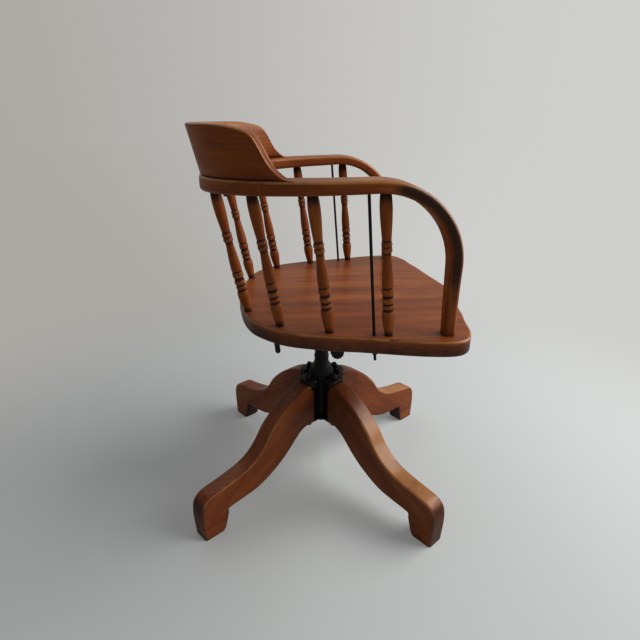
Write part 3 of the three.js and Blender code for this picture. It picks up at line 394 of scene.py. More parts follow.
def rounded_rings(
    centre: Array,
    across: Rows,
    up: Rows,
    half_width: Number,
    half_height: Number,
    corner: Union[float, Span],
    arc: int = 7,
) -> tuple[Array, ...]:
    """Rounded rectangles along a path.

    A ring's point is the centre, plus the inner rectangle's corner, plus the corner
    radius in the direction of the corner's angle; the flats between two corners have a
    few points of their own close to the corners.

    Args:
        centre: ring centres, one a row.
        across: unit directions of the width, one a row or one for all.
        up: unit directions of the height, likewise.
        half_width: half the width at each ring.
        half_height: half the height at each ring.
        corner: the corner radius, or those of the far and the near side across, less where
            the section is small.
        arc: steps in each corner.

    Returns:
        The rings, and for each of their points its offset across, its offset up, how near it
        is to the middle of a corner, from 0 to 1, and the path's length up to its ring.
    """
    count = len(centre)
    halves = (half_width, half_height)
    wide, tall = (np.broadcast_to(np.asarray(half, float), count)[:, None] for half in halves)
    angle = np.linspace(0, QUARTER, arc + 1)
    flats = np.array([0.9, 0.45, 0.0, -0.45, -0.9])
    signs, turns, near = ([], []), [], []
    for quarter, corner_signs in enumerate(((1, 1), (-1, 1), (-1, -1), (1, -1))):
        for axis, sign in enumerate(corner_signs):
            side = flats if quarter % 2 == axis else np.ones(len(flats))
            signs[axis].extend([np.full(arc + 1, float(sign)), side * sign])
        turns += [angle + quarter * QUARTER, np.full(len(flats), (quarter + 1) * QUARTER)]
        near += [np.sin(2 * angle), np.zeros(len(flats))]
    a, b, turn, edge = (np.concatenate(part)[None, :] for part in (*signs, turns, near))
    far, close = np.broadcast_to(corner, 2)
    radius = np.minimum(np.where(a > 0, far, close), np.minimum(wide, tall) * 0.999)
    x = a * (wide - radius) + radius * np.cos(turn)
    y = b * (tall - radius) + radius * np.sin(turn)
    sideways, upwards = (np.broadcast_to(way, (count, 3))[:, None, :] for way in (across, up))
    rings = centre[:, None, :] + x[..., None] * sideways + y[..., None] * upwards
    run = run_of(centre)[:, None]
    return rings, x, y, *(np.broadcast_to(values, x.shape) for values in (edge, run))


def round_rings(radius: Array, height: Array) -> Array:
    """Rings round +Z at even angles.

    A point is (radius cos angle, radius sin angle, height).

    Args:
        radius: the radius at each row and angle.
        height: the height of each row.

    Returns:
        The rings.
    """
    angle = angles(radius.shape[1])
    z = np.broadcast_to(height[:, None], radius.shape)
    return np.stack([radius * np.cos(angle), radius * np.sin(angle), z], -1)


def turned(profile: Rows, count: int) -> Array:
    """Rings of a profile of radius and height, turned round +Z."""
    radius, height = np.asarray(profile, float).T
    return round_rings(np.repeat(radius[:, None], count, 1), height)


def lathe(profile: Rows, count: int, dirt_and_shade: Rows = ((0.0,),), wear: Rows = ((0.0,),)) -> Form:
    """Turns a profile round +Z, closed flat at its ends; its grain runs along the axis."""
    rings = turned(profile, count)
    return Form.loft(rings, rings[..., (2, 0, 1)], wear, dirt_and_shade)


def hollow(profile: Rows, count: int) -> Form:
    """Turns a closed profile, such as a washer's or a nut's, round +Z without end faces."""
    return Form.loft(turned(profile, count), capped=False)


def washer(bore: float, radius: float, low: float, high: float, ease: float = 0.5) -> Form:
    """A bored disc whose outer edges are cut back by an ease.

    Args:
        bore: radius of its hole.
        radius: its own radius.
        low: height of its bottom.
        high: height of its top.
        ease: how far its edges are cut back.

    Returns:
        The disc.
    """
    return hollow([
        (bore, low), (radius - ease, low), (radius, low + ease), (radius, high - ease),
        (radius - ease, high), (bore, high),
    ], 40)


def hexagon(radius: float, bore: float, low: float, high: float) -> Form:
    """A nut: a bored prism whose corners are cut back to a cone at both ends.

    At an angle the radius is the distance to a side's middle over the cosine of the angle
    from that middle.

    Args:
        radius: distance to the corners.
        bore: radius of the hole.
        low: height of its bottom.
        high: height of its top.

    Returns:
        The nut.
    """
    half_side = math.pi / 6
    angle = angles(48)
    flat = radius * math.cos(half_side) / np.cos(np.mod(angle, half_side * 2) - half_side)
    cut = radius * 0.90
    edge = (radius - cut) * 0.6
    hole, face = np.full(len(angle), bore), np.minimum(flat, cut)
    heights = np.array([low, low, low + edge, high - edge, high, high])
    return Form.loft(
        round_rings(np.array([hole, face, flat, flat, face, hole]), heights), wear=0.6, capped=False)


def ribbed(
    rows: Array, ribs: int, steep: float, depth: float, wear: float, capped: bool = True,
) -> Form:
    """Turns a profile round +Z, cut in between its ribs.

    Each row's radius is less by the depth, times the row's own share, times what the
    raised cosine of the ribs' count times the angle leaves to 1.

    Args:
        rows: radius, height and share of the cut at each row.
        ribs: number of ribs.
        steep: how steeply the ribs rise.
        depth: depth of the cut.
        wear: how rubbed the ribs are.
        capped: closes the ends.

    Returns:
        The shell.
    """
    rib = held(0.5 + steep * np.cos(ribs * angles(ribs * 10)))
    rings = round_rings(rows[:, :1] - depth * rows[:, 2:] * (1 - rib), rows[:, 1])
    return Form.loft(rings, wear=rows[:, 2:] * rib * wear, capped=capped)


def slab(
    outline: Array,
    low: float,
    high: float,
    edge: float,
    steps: int = 4,
    inner: Sequence[float] = (),
) -> Form:
    """A plate of a flat outline with rounded edges.

    The outline is drawn in by the edge radius times one less the sine of an angle, at
    the height that the cosine of the same angle gives, at the bottom and at the top.

    Args:
        outline: the plate's outline, counter-clockwise.
        low: height of its bottom.
        high: height of its top.
        edge: radius of its edges.
        steps: steps in each edge.
        inner: sizes of further rings on the top, as shares of the outline.

    Returns:
        The plate, its edges worn.
    """
    before = unit(outline - np.roll(outline, 1, axis=0))
    after = unit(np.roll(outline, -1, axis=0) - outline)
    tangent = unit(before + after)
    inward = np.stack([-tangent[:, 1], tangent[:, 0]], 1)
    angle = np.linspace(0, QUARTER, steps + 1)
    inset = edge * (1 - np.sin(angle))
    rise = edge * (1 - np.cos(angle))
    margin = max(edge * 0.5, 0.4)
    room = min(margin, (high - low - 2 * edge) / 3)
    drawn = np.concatenate([[edge + margin], inset, [0.0, 0.0], inset[::-1], [edge + margin]])
    heights = np.concatenate([
        [low], low + rise, [low + edge + room, high - edge - room], high - rise[::-1], [high],
        np.full(len(inner), high),
    ])
    bend = np.sin(2 * angle)
    near = np.concatenate([[0], bend, [0, 0], np.sin(2 * angle[::-1]), [0], np.zeros(len(inner))])
    flat = outline[None] + drawn[:, None, None] * inward[None]
    flat = np.concatenate([flat, flat[-1:] * np.reshape(inner, (-1, 1, 1))])
    z = np.broadcast_to(heights[:, None, None], (*flat.shape[:2], 1))
    return Form.loft(np.concatenate([flat, z], -1), wear=near[:, None])


def plate(x: Span, y: Span, z: Span, corner: float, edge: float, steps: int = 4) -> Form:
    """A block between two places on each axis.

    Args:
        x: its ends along X.
        y: its ends along Y.
        z: its bottom and top.
        corner: radius of its upright edges.
        edge: radius of its edges above and below.
        steps: steps in each upright edge.

    Returns:
        The block.
    """
    (left, right), (near, far) = x, y
    outline = [(left, near), (right, near), (right, far), (left, far)]
    return slab(rounded_outline(outline, corner, steps), *z, edge)


def screw_head(radius: float, low: float, high: float) -> Form:
    """A wood screw's round head seen from below, its rim rounded and its face slotted.

    The face is a round slab; the slot is the gap between two half round raised lips.

    Args:
        radius: the head's radius.
        low: height of its face.
        high: height of the surface that it sits on.

    Returns:
        The head.
    """
    half_turn = np.linspace(-1, 1, 25) * (QUARTER - 0.14)
    disc, half = (np.stack([np.cos(angle), np.sin(angle)], 1) for angle in (angles(32), half_turn))
    rim = slab(radius * disc, low + 1.0, high, 0.5)
    lips = [slab(radius * 0.97 * half * (sign, sign), low, low + 1.6, 0.5, 3) for sign in (1, -1)]
    return Form.join([rim, *lips])


def along(start: Triple, end: Triple) -> Array:
    """Matrix that sets a form built up +Z onto the line from one point to another.

    Args:
        start: where the form's origin goes.
        end: where its axis points to.

    Returns:
        The matrix.
    """
    way = Vector(end) - Vector(start)
    turn = Vector((0.0, 0.0, 1.0)).rotation_difference(way.normalized())
    return np.array(Matrix.Translation(Vector(start)) @ turn.to_matrix().to_4x4())


def shift(x: float = 0.0, y: float = 0.0, z: float = 0.0) -> Array:
    """Matrix of a plain move."""
    return np.array(Matrix.Translation((x, y, z)))


def turn_about(angle: float, axis: str) -> Array:
    """Matrix of a turn about an axis of the frame, the angle in radians."""
    return np.array(Matrix.Rotation(angle, 4, axis))


def leg_turn(row: int) -> Array:
    """Matrix that turns a form from +X to one of the legs."""
    return turn_about(math.radians(LEG_TURN) + row * QUARTER, "Z")


def at_pivot(sign: float = 1.0) -> Array:
    """Matrix that lays a form built up +Z along the pivot, towards one side."""
    return shift(0, PIVOT_Y, PIVOT_Z) @ turn_about(QUARTER * sign, "Y")


# CROSSWISE stands an outline of Y and Z upright along X, and MIRROR swaps left and right
CROSSWISE = np.array([[0, 0, 1, 0], [1, 0, 0, 0], [0, 1, 0, 0], [0, 0, 0, 1]], float)
UP = np.array([0.0, 0.0, 1.0])
MIRROR = np.diag((-1.0, 1.0, 1.0, 1.0))


# Shaders


def operator(operation: str, swapped: bool = False) -> Callable[["Signal", Value], "Signal"]:
    """Makes an operator of Signal out of a Math node's operation.

    Args:
        operation: the node's operation.
        swapped: puts the other value first, as the reflected operators do.

    Returns:
        The method.
    """

    def apply(this: "Signal", other: Value) -> "Signal":
        """Adds the node for this value and another."""
        return this.tree.math(operation, *((other, this) if swapped else (this, other)))

    return apply


@dataclass(frozen=True)
class Signal:
    """A socket of values with the operators that a pattern's maths uses."""

    tree: "Network"
    socket: bpy.types.NodeSocket

    __add__ = __radd__ = operator("ADD")
    __mul__ = __rmul__ = operator("MULTIPLY")
    __sub__ = operator("SUBTRACT")
    __rsub__ = operator("SUBTRACT", swapped=True)
    __truediv__ = operator("DIVIDE")
    __rtruediv__ = operator("DIVIDE", swapped=True)

    def clipped(self, low: float, high: float) -> "Signal":
        """Spreads the part between two values over 0 to 1, smoothly, and cuts off the rest.

        Args:
            low: value that gives 0.
            high: value that gives 1.

        Returns:
            The spread value.
        """
        ends = {"Value": self, "From Min": low, "From Max": high, "To Min": 0.0, "To Max": 1.0}
        kind = {"interpolation_type": "SMOOTHSTEP", "clamp": True}
        return self.tree.read("MapRange", "Result", ends, **kind)


class Network:
    """A tree of nodes, and the few calls that draw patterns in it."""

    def __init__(self, tree: bpy.types.NodeTree) -> None:
        """Empties the tree."""
        self.nodes, self.links = tree.nodes, tree.links
        self.nodes.clear()

    def node(self, kind: str, inputs: dict[Any, Any], **settings: Any) -> bpy.types.Node:
        """Makes a node: its settings first, then its sockets' values or links.

        Args:
            kind: the node's type, without the word that all of them start with.
            inputs: values, Signals or sockets by the input's name or number.
            settings: properties by name.

        Returns:
            The node.
        """
        made = self.nodes.new(f"ShaderNode{kind}")
        for name, value in settings.items():
            setattr(made, name, value)
        for name, value in inputs.items():
            self.feed(made.inputs[name], value)
        return made

    def read(self, kind: str, output: Any, inputs: dict[Any, Any], **settings: Any) -> Signal:
        """One output of a new node."""
        return Signal(self, self.node(kind, inputs, **settings).outputs[output])

    def feed(self, socket: bpy.types.NodeSocket, value: Any) -> None:
        """Sets or links one input.

        Args:
            socket: the input.
            value: a Signal to link, or a plain value to set.
        """
        if isinstance(value, Signal):
            self.links.new(value.socket, socket)
        elif isinstance(value, tuple) and socket.type == "RGBA":
            socket.default_value = (*value, 1.0)
        else:
            socket.default_value = value

    def math(self, operation: str, first: Value, second: Value = 0.0) -> Signal:
        """One Math node on two values."""
        return self.read("Math", 0, {0: first, 1: second}, operation=operation)

    def attribute(self, name: str, output: str = "Fac") -> Signal:
        """A value or a vector that the mesh carries at each point."""
        return self.read("Attribute", output, {}, attribute_name=name)

    def place(self, kind: str = "Object") -> Signal:
        """The point's own coordinates."""
        return self.read("TexCoord", kind, {})

    def noise(
        self,
        vector: Signal,
        scale: Triple,
        detail: float = 3.0,
        rough: float = 0.5,
        offset: Triple = (0.0, 0.0, 0.0),
    ) -> Signal:
        """Smooth noise from 0 to 1.

        Args:
            vector: where it is read.
            scale: turns a metre along each axis.
            detail: number of finer layers.
            rough: strength of each finer layer.
            offset: how far the pattern is moved, in turns.

        Returns:
            The noise.
        """
        ends = {0: vector, 1: scale, 2: offset}
        spread = self.read("VectorMath", "Vector", ends, operation="MULTIPLY_ADD")
        inputs = {"Vector": spread, "Scale": 1.0, "Detail": detail, "Roughness": rough}
        return self.read("TexNoise", "Fac", inputs)

    def parts(self, vector: Signal) -> tuple[Signal, ...]:
        """A vector's three values."""
        made = self.node("SeparateXYZ", {0: vector})
        return tuple(Signal(self, made.outputs[axis]) for axis in range(3))

    def gather(self, x: Value, y: Value, z: Value) -> Signal:
        """A vector of three values."""
        return self.read("CombineXYZ", 0, {0: x, 1: y, 2: z})

    def other_board(self, wood: Signal, index: Value, steps: Triple) -> Signal:
        """Moves the grain by steps times an index, so that each board has its own."""
        moved = self.gather(*(index * step for step in steps))
        return self.read("VectorMath", "Vector", {0: wood, 1: moved}, operation="ADD")

    def ramp(self, value: Signal, stops: Sequence[tuple[float, Triple]]) -> Signal:
        """A colour read from stops of place and colour.

        Args:
            value: where on the ramp it is read.
            stops: its places and colours.

        Returns:
            The colour.
        """
        made = self.node("ValToRGB", {0: value})
        elements = made.color_ramp.elements
        while len(elements) < len(stops):
            elements.new(0.5)
        for element, (place, colour) in zip(elements, stops):
            element.position = place
            element.color = (*colour, 1.0)
        return Signal(self, made.outputs["Color"])

    def mixed(self, share: Value, first: Any, second: Any) -> Signal:
        """Two colours mixed by a share."""
        return self.read("Mix", 2, {0: share, 6: first, 7: second}, data_type="RGBA")

    def bump(self, height: Signal, distance: float, strength: float) -> Signal:
        """A Bump node's normal, from a height times a distance in metres."""
        inputs = {"Height": height, "Distance": distance, "Strength": strength}
        return self.read("Bump", "Normal", inputs)

    def peak(self, *values: Value) -> Signal:
        """The largest of some values.

        Args:
            *values: the values.

        Returns:
            The largest.
        """
        top = values[0]
        for value in values[1:]:
            top = self.math("MAXIMUM", top, value)
        return top

    def seen(self) -> Signal:
        """1 for a ray that shows the surroundings, in view or mirrored, 0 for one that lights.

        Returns:
            The value of 0 or 1.
        """
        path = self.node("LightPath", {}).outputs
        kinds = ("Is Camera Ray", "Is Glossy Ray", "Is Transmission Ray")
        return self.peak(*(Signal(self, path[kind]) for kind in kinds))


class Finisher(Network):
    """A material with a Principled shader."""

    def __init__(self, name: str) -> None:
        """Starts a material with only a shader and an output.

        Args:
            name: the material's name.
        """
        self.material = bpy.data.materials.new(name)
        self.material.use_nodes = True
        super().__init__(self.material.node_tree)
        self.shader = self.node("BsdfPrincipled", {})
        self.shown = Signal(self, self.shader.outputs["BSDF"])
        self.out = self.node("OutputMaterial", {"Surface": self.shown})

    def surface(self, **inputs: Any) -> bpy.types.Material:
        """Feeds the shader's sockets, named with underscores for spaces, and gives the material.

        Args:
            **inputs: values or Signals by the socket's name.

        Returns:
            The material.
        """
        for name, value in inputs.items():
            label = name.replace("_", " ").title().replace("Ior", "IOR")
            self.feed(self.shader.inputs[label], value)
        return self.material


@dataclass(frozen=True)
class WoodFinish:
    """Stained and varnished hardwood, its pattern laid along the grain coordinates.

    Attributes:
        slot: the material's name, under which the finish is made once.
        dark: colour of the latewood and of the pores.
        middle: the main colour.
        light: colour of the earlywood.
        worn: colour where the stain is rubbed off.
        dirt: colour of dark deposits and of painted shade.
        knock: colour of small knocks and spots.
        ring: width of a growth ring, in metres.
        pith: where the middle of the log lies, across and through the board, in metres.
        rough: roughness of the varnish.
        coat: weight of the varnish coat.
        board: width of the glued boards across the grain, or 0 for one board.
        block: height of the block glued on below the wood, or 0 for none, in metres.
        marks: how dark small knocks and spots are.
    """

    slot: str
    dark: Triple = (0.070, 0.0140, 0.0038)
    middle: Triple = (0.196, 0.0460, 0.0082)
    light: Triple = (0.345, 0.112, 0.022)
    worn: Triple = (0.42, 0.185, 0.055)
    dirt: Triple = (0.012, 0.0065, 0.0050)
    knock: Triple = (0.018, 0.0085, 0.0055)
    ring: float = 0.0062
    pith: Span = (0.012, -0.075)
    rough: float = 0.46
    coat: float = 0.04
    board: float = 0.0
    block: float = 0.0
    marks: float = 0.0

    suffix = "wood"

    def make(self) -> bpy.types.Material:
        """Draws the wood: growth rings round the pith, fibres, pores, wear, and deposits with painted
        shade.

        Returns:
            The material.
        """
        f = Finisher(self.slot)
        wood = f.attribute("grain", "Vector")
        tone: Value = 0.0
        seam: Value = 0.0
        if self.board:
            lane = f.parts(wood)[1] / self.board
            index = f.math("FLOOR", lane)
            place = lane - index
            near = f.math("MINIMUM", place, 1 - place) * self.board
            seam = 1 - near.clipped(0.0002, 0.0011)
            tone = f.math("SINE", index * 12.9) * 0.5
            wood = f.other_board(wood, index, (0.37, 0.031, 0.017))
        if self.block:
            height = f.parts(f.place())[2]
            below = f.math("LESS_THAN", height, self.block)
            seam = 1 - f.math("ABSOLUTE", height - self.block).clipped(0.0003, 0.0013)
            tone = below * 0.5
            wood = f.other_board(wood, below, (0.53, 0.041, 0.023))
        _, across, through = f.parts(wood)
        sway = (f.noise(wood, (2.2, 9.0, 9.0), 2.0) - 0.5) * 0.024
        y = across - self.pith[0] + sway
        z = through - self.pith[1] + sway * 0.6
        rings = f.math("SQRT", y * y + z * z) / self.ring + f.noise(wood, (3.0, 60.0, 60.0)) * 0.9
        cycle = f.math("FRACT", rings)
        late = cycle.clipped(0.25, 0.95) * (1 - cycle.clipped(0.95, 1.0))
        fibre = f.noise(wood, (14.0, 900.0, 900.0), 3.0, 0.6) - 0.5
        streak = f.noise(wood, (3.5, 150.0, 150.0), 3.0, 0.55) - 0.5
        broad = f.noise(wood, (3.0, 14.0, 14.0), 2.0, 0.5, (3.1, 0.4, 1.7)) - 0.5
        cloud = f.noise(wood, (7.0, 32.0, 32.0), 3.0, 0.55, (0.7, 2.9, 5.3)) - 0.5
        pores = f.noise(wood, (55.0, 1700.0, 1700.0), 1.0).clipped(0.60, 0.74)
        value = 0.53 - late * 0.09 + fibre * 0.24 + streak * 0.26 + broad * 0.50 + cloud * 0.62
        stops = [(0.12, self.dark), (0.52, self.middle), (0.92, self.light)]
        stain = f.ramp(value + tone * 0.10, stops)
        wear = f.attribute("wear")
        patch = f.noise(f.place(), (34.0, 34.0, 34.0), 3.0, 0.6) - 0.5
        fine = f.noise(f.place(), (160.0, 160.0, 160.0), 2.0, 0.6) - 0.5
        rubbed = (wear * 1.15 + patch * 1.2 - 0.35).clipped(0.0, 0.9) * 0.62
        # Painted shade with deposits: the mesh's values for both, broken up by noise, darken the
        # colour.
        dirt_and_shade_share = (f.attribute("dirt_and_shade") * 1.25 + patch * 0.7 + fine * 0.25 - 0.10).clipped(0.0, 1.0)
        colour = f.mixed(rubbed, stain, self.worn)
        colour = f.mixed(pores * 0.5, colour, self.dark)
        colour = f.mixed(dirt_and_shade_share * 0.92, colour, self.dirt)
        if self.board or self.block:
            colour = f.mixed(seam * 0.7, colour, self.dark)
        if self.marks:
            spots = f.noise(wood, (70.0, 150.0, 150.0), 2.0).clipped(0.70, 0.78)
            colour = f.mixed(spots * self.marks, colour, self.knock)
        relief = 1 - pores * 0.8 - seam + fibre * 0.4 + streak * 0.5
        return f.surface(
            base_color=colour,
            roughness=self.rough + fibre * 0.10 + patch * 0.16 + dirt_and_shade_share * 0.10,
            specular_ior_level=0.06,
            coat_weight=wear * 0.30 + self.coat,
            coat_roughness=0.27,
            normal=f.bump(relief, 0.00012, 0.55),
        )


@dataclass(frozen=True)
class IronFinish:
    """Cast iron under old black paint, with a sandy skin and rubbed edges."""

    slot: str
    colour: Triple = (0.0030, 0.0029, 0.0030)
    bare: Triple = (0.034, 0.031, 0.029)
    rust: Triple = (0.022, 0.010, 0.006)
    rough: float = 0.46

    suffix = "iron"

    def make(self) -> bpy.types.Material:
        """Draws the paint, the grit of the casting, dust and the bare edges.

        Returns:
            The material.
        """
        f = Finisher(self.slot)
        here = f.place()
        lumps = f.noise(here, (260.0, 260.0, 260.0), 4.0, 0.6)
        grit = f.noise(here, (1300.0, 1300.0, 1300.0), 2.0, 0.6)
        cloud = f.noise(here, (38.0, 38.0, 38.0), 3.0, 0.55)
        bare = (f.attribute("wear") * 0.9 + (lumps - 0.5) * 1.5 - 0.52).clipped(0.0, 0.45)
        dusty = (cloud - 0.42).clipped(0.0, 0.35) * 0.4
        return f.surface(
            base_color=f.mixed(bare * 0.55, f.mixed(dusty, self.colour, self.rust), self.bare),
            metallic=bare * 0.7,
            specular_ior_level=0.12,
            roughness=self.rough + (lumps - 0.5) * 0.25 + dusty * 0.3 - bare * 0.08,
            normal=f.bump(lumps * 0.7 + grit * 0.3, 0.00022, 0.8),
        )


@dataclass(frozen=True)
class SteelFinish:
    """Turned steel gone dark, with tool marks round its axis and an oily bloom."""

    slot: str
    colour: Triple = (0.030, 0.028, 0.027)
    stain: Triple = (0.012, 0.008, 0.006)
    rough: float = 0.36

    suffix = "steel"

    def make(self) -> bpy.types.Material:
        """Draws the steel, its stains and its fine turning marks.

        Returns:
            The material.
        """
        f = Finisher(self.slot)
        here = f.place()
        marks = f.noise(here, (60.0, 60.0, 2600.0), 2.0, 0.6)
        stained = (f.noise(here, (120.0, 120.0, 120.0), 4.0, 0.6) - 0.44).clipped(0.0, 0.25)
        return f.surface(
            base_color=f.mixed(stained * 0.75, self.colour, self.stain),
            metallic=0.85 - stained * 0.4,
            roughness=self.rough + (marks - 0.5) * 0.14 + stained * 0.2,
            normal=f.bump(marks, 0.00004, 0.5),
        )


SEAT_WOOD = WoodFinish(
    "seat_wood", board=0.128, ring=0.0075, pith=(0.03, -0.16), rough=0.42, coat=0.16, marks=0.8)
FRAME_WOOD = WoodFinish("frame_wood", ring=0.0052, pith=(0.004, -0.05))
# The legs' wood is darker than the frame's, which paints shade for the lesser light low down.
SHADED_LEG_WOOD = WoodFinish(
    "leg_wood", dark=(0.058, 0.0115, 0.0032), middle=(0.155, 0.0355, 0.0080),
    light=(0.285, 0.088, 0.022), ring=0.0070, pith=(0.05, -0.11), coat=0.14, block=0.027)
IRON = IronFinish("black_iron")
STEEL = SteelFinish("dark_steel")
Finish = Union[WoodFinish, IronFinish, SteelFinish]


class Workshop:
    """Turns forms into dressed pieces on their bodies."""

    def __init__(self) -> None:
        """Starts with no piece and no finish made."""
        self.made = 0
        self.finishes: dict[str, bpy.types.Material] = {}

    def dress(self, thing: bpy.types.Object, finish: Finish) -> None:
        """Gives an object a finish, made on its first use.

        Args:
            thing: the object.
            finish: its finish.
        """
        if finish.slot not in self.finishes:
            self.finishes[finish.slot] = finish.make()
        thing.data.materials.clear()
        thing.data.materials.append(self.finishes[finish.slot])

    def fit(
        self,
        node: str,
        form: Form,
        finish: Finish,
        body: Body = Body.SEAT,
        sharp: float = 38.0,
        name: str = "",
    ) -> bpy.types.Object:
        """Builds a piece, dresses it and sets it on its body in place of a CAD node.

        Args:
            node: the node it stands for.
            form: its shape.
            finish: its finish.
            body: the body it rides on.
            sharp: angle past which an edge stays sharp.
            name: the piece's name; if empty, the node's with the finish's suffix.

        Returns:
            The piece.
        """
        name = name or f"{node}_{finish.suffix}"
        thing = form.build(name, sharp)
        self.dress(thing, finish)
        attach(thing, body.value)
        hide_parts(node)
        self.made += 1
        log.info("%s on %s for %s: %d points", name, body.value, node, len(form.points))
        return thing


# The bow: the run that arms, back rail, crest and spindles share


@dataclass(frozen=True)
class Stretch:
    """Some places of the bow: middle line in plan, outward directions, tops and sizes."""

    centre: Array
    outward: Array
    top: Array
    thickness: Array
    width: Array

    def middle(self) -> Array:
        """The middle line at its height."""
        return np.column_stack([self.centre[:, :2], self.top - self.thickness / 2])


@dataclass(frozen=True)
class Bow:
    """The horizontal bow behind and beside the sitter, in millimetres."""

    post_x: float = 234.5
    post_y: float = -185.0
    post_radius: float = 12.0
    bend: float = 125.0
    arm_top: float = 690.5
    rear_reach: float = 196.5
    arm_width: float = 58.0
    arm_thickness: float = 19.0
    rail_width: float = 53.0
    rail_thickness: float = 27.0
    drop: float = 7.5
    drop_power: float = 1.2
    corner: float = 6.5
    joint: float = 0.41
    plan: Table = (
        (0.987, -0.0865), (0.951, 0.188), (0.878, 0.4326), (0.776, 0.649), (0.64, 0.8244),
        (0.473, 0.939), (0.247, 0.985), (0.0, 1.0),
    )

    def points(self) -> Array:
        """Points of the middle line in plan, from the left arm's bend to the right one's.

        Returns:
            The points, at height 0.
        """
        half = np.array(self.plan) * (self.post_x, self.rear_reach)
        left = np.vstack([[self.post_x, self.post_y + self.bend], half])
        flat = np.vstack([left, left[:-1][::-1] * (-1, 1)])
        return np.column_stack([flat, np.zeros(len(flat))])

    def at(self, share: Array) -> Stretch:
        """Reads the bow at shares of its left half's run, up to 2 at the right bend.

        The thickness and width go evenly from the arm's to the rail's towards the middle
        of the back, and the top drops by the sine of the same share to a power.

        Args:
            share: places on the run.

        Returns:
            What the bow is like there.
        """
        known = self.points()
        step = 1e-4
        ahead = even_spline(known, share / 2 + step) - even_spline(known, share / 2 - step)
        tangent = ahead / np.linalg.norm(ahead, axis=1)[:, None]
        back = 1 - np.abs(1 - share)
        return Stretch(
            centre=even_spline(known, share / 2),
            outward=np.stack([tangent[:, 1], -tangent[:, 0], np.zeros(len(share))], 1),
            top=self.arm_top - self.drop * np.sin(held(back) * QUARTER) ** self.drop_power,
            thickness=self.arm_thickness + (self.rail_thickness - self.arm_thickness) * back,
            width=self.arm_width + (self.rail_width - self.arm_width) * back,
        )

    def length(self) -> float:
        """Length of half the run."""
        return float(run_of(even_spline(self.points(), np.linspace(0, 0.5, 400)))[-1])

    def arm_run(self) -> float:
        """Length of an arm's middle line, from the seat up the post and along to its joint."""
        rise = self.arm_top - self.arm_thickness / 2 - self.bend - SEAT_TOP
        return rise + self.bend * QUARTER + self.length() * self.joint

    def whole_run(self) -> float:
        """Length of the middle line from the left arm's foot to the right arm's."""
        return 2 * self.arm_run() + 2 * (1 - self.joint) * self.length()

    def stick(self, side: Side, foot: Span, head: Span) -> tuple[Triple, Triple]:
        """The ends of a stick between the seat and the bow's underside, on one side.

        Args:
            side: the side that it is on.
            foot: its foot in plan, on the left side.
            head: its head in plan, on the left side.

        Returns:
            Its low end and its high end.
        """
        read = self.at(np.linspace(0, 1, 61))
        best = int(np.argmin(np.linalg.norm(read.centre[:, :2] - head, axis=1)))
        under = float(read.top[best] - read.thickness[best]) - GAP
        low = (side.value * foot[0], foot[1], SEAT_TOP + GAP)
        return low, (side.value * head[0], head[1], under)


@dataclass
class Seat:
    """The seat board: several boards glued edge to edge, with rounded edges.

    Attributes:
        feet: place and size in plan of what stands on the left half.
        lane_start: how far the first glued board reaches past the middle.
        side_shade_and_end_grain: painted shade on the sides, and how much more darkening the end grain
            has.
        foot_shade_and_deposits: painted shade, with deposits, round each foot.
        foot_spread: how far that darkening spreads past the foot.
        rubbed_height: height below the top down to which the edge is rubbed.
        outline: shares of half the width and of the reach to the rear or the front.
    """

    feet: tuple[Triple, ...]
    half_width: float = 269.5
    front: float = 267.0
    rear: float = 169.0
    edge: float = 5.0
    lane_start: float = 64.0
    side_shade_and_end_grain: Span = (0.58, 0.27)
    foot_shade_and_deposits: float = 0.72
    foot_spread: float = 4.5
    rubbed_height: float = 14.0
    outline: Table = (
        (0, 1), (0.156, 0.979), (0.319, 0.941), (0.445, 0.893), (0.553, 0.822), (0.631, 0.728),
        (0.705, 0.609), (0.75, 0.515), (0.787, 0.396), (0.816, 0.266), (0.85, 0.101),
        (0.872, -0.045), (0.894, -0.157), (0.928, -0.296), (0.954, -0.401), (0.976, -0.494),
        (0.994, -0.607), (1, -0.693), (0.987, -0.764), (0.95, -0.813), (0.891, -0.846),
        (0.809, -0.873), (0.683, -0.891), (0.557, -0.918), (0.427, -0.936), (0.289, -0.957),
        (0.13, -0.985), (0, -1),
    )

    def form(self) -> Form:
        """The board: its outline, rounded at the edges, its grain from front to back.

        Painted shade lies on the sides, and the end grain is darker still; painted shade with
        deposits lies round each foot by the bell curve of the distance from it.

        Returns:
            The board's shell.
        """
        half = np.array(self.outline, float)
        reach = np.where(half[:, 1] > 0, self.rear, self.front)
        right = np.column_stack([half[:, 0] * self.half_width, half[:, 1] * reach])
        loop = spline(np.vstack([right, right[1:-1][::-1] * (-1, 1)]), 6, closed=True)[::-1]
        inner = np.arange(0.975, 0.55, -0.018)
        board = slab(loop, SEAT_TOP - SEAT_THICKNESS, SEAT_TOP, self.edge, 7, inner)
        x, y, z = board.points.T
        board.grain = np.stack([y, x + self.lane_start, z], 1)
        way = np.roll(loop, -1, axis=0) - np.roll(loop, 1, axis=0)
        end_grain = np.abs(way[:, 0]) / np.linalg.norm(way, axis=1)
        ends = np.tile(end_grain, len(x) // len(loop)) ** 2
        # Painted shade on the sides below the top, with the end grain darker still.
        plain, more = self.side_shade_and_end_grain
        stain = held((SEAT_TOP - z - 4) / 5) * (plain + more * ends)
        # Painted shade with deposits round each foot.
        for foot_x, foot_y, size in self.feet:
            away = np.hypot(np.abs(x) - foot_x, y - foot_y)
            bell = np.exp(-(away / (size + self.foot_spread)) ** 2)
            stain = np.maximum(stain, self.foot_shade_and_deposits * bell)
        board.dirt_and_shade = stain
        board.wear = board.wear * np.where(z > SEAT_TOP - self.rubbed_height, 0.8, 0.2)
        return board

    def build(self, shop: Workshop) -> None:
        """Fits the board."""
        shop.fit("seat_board", self.form(), SEAT_WOOD)


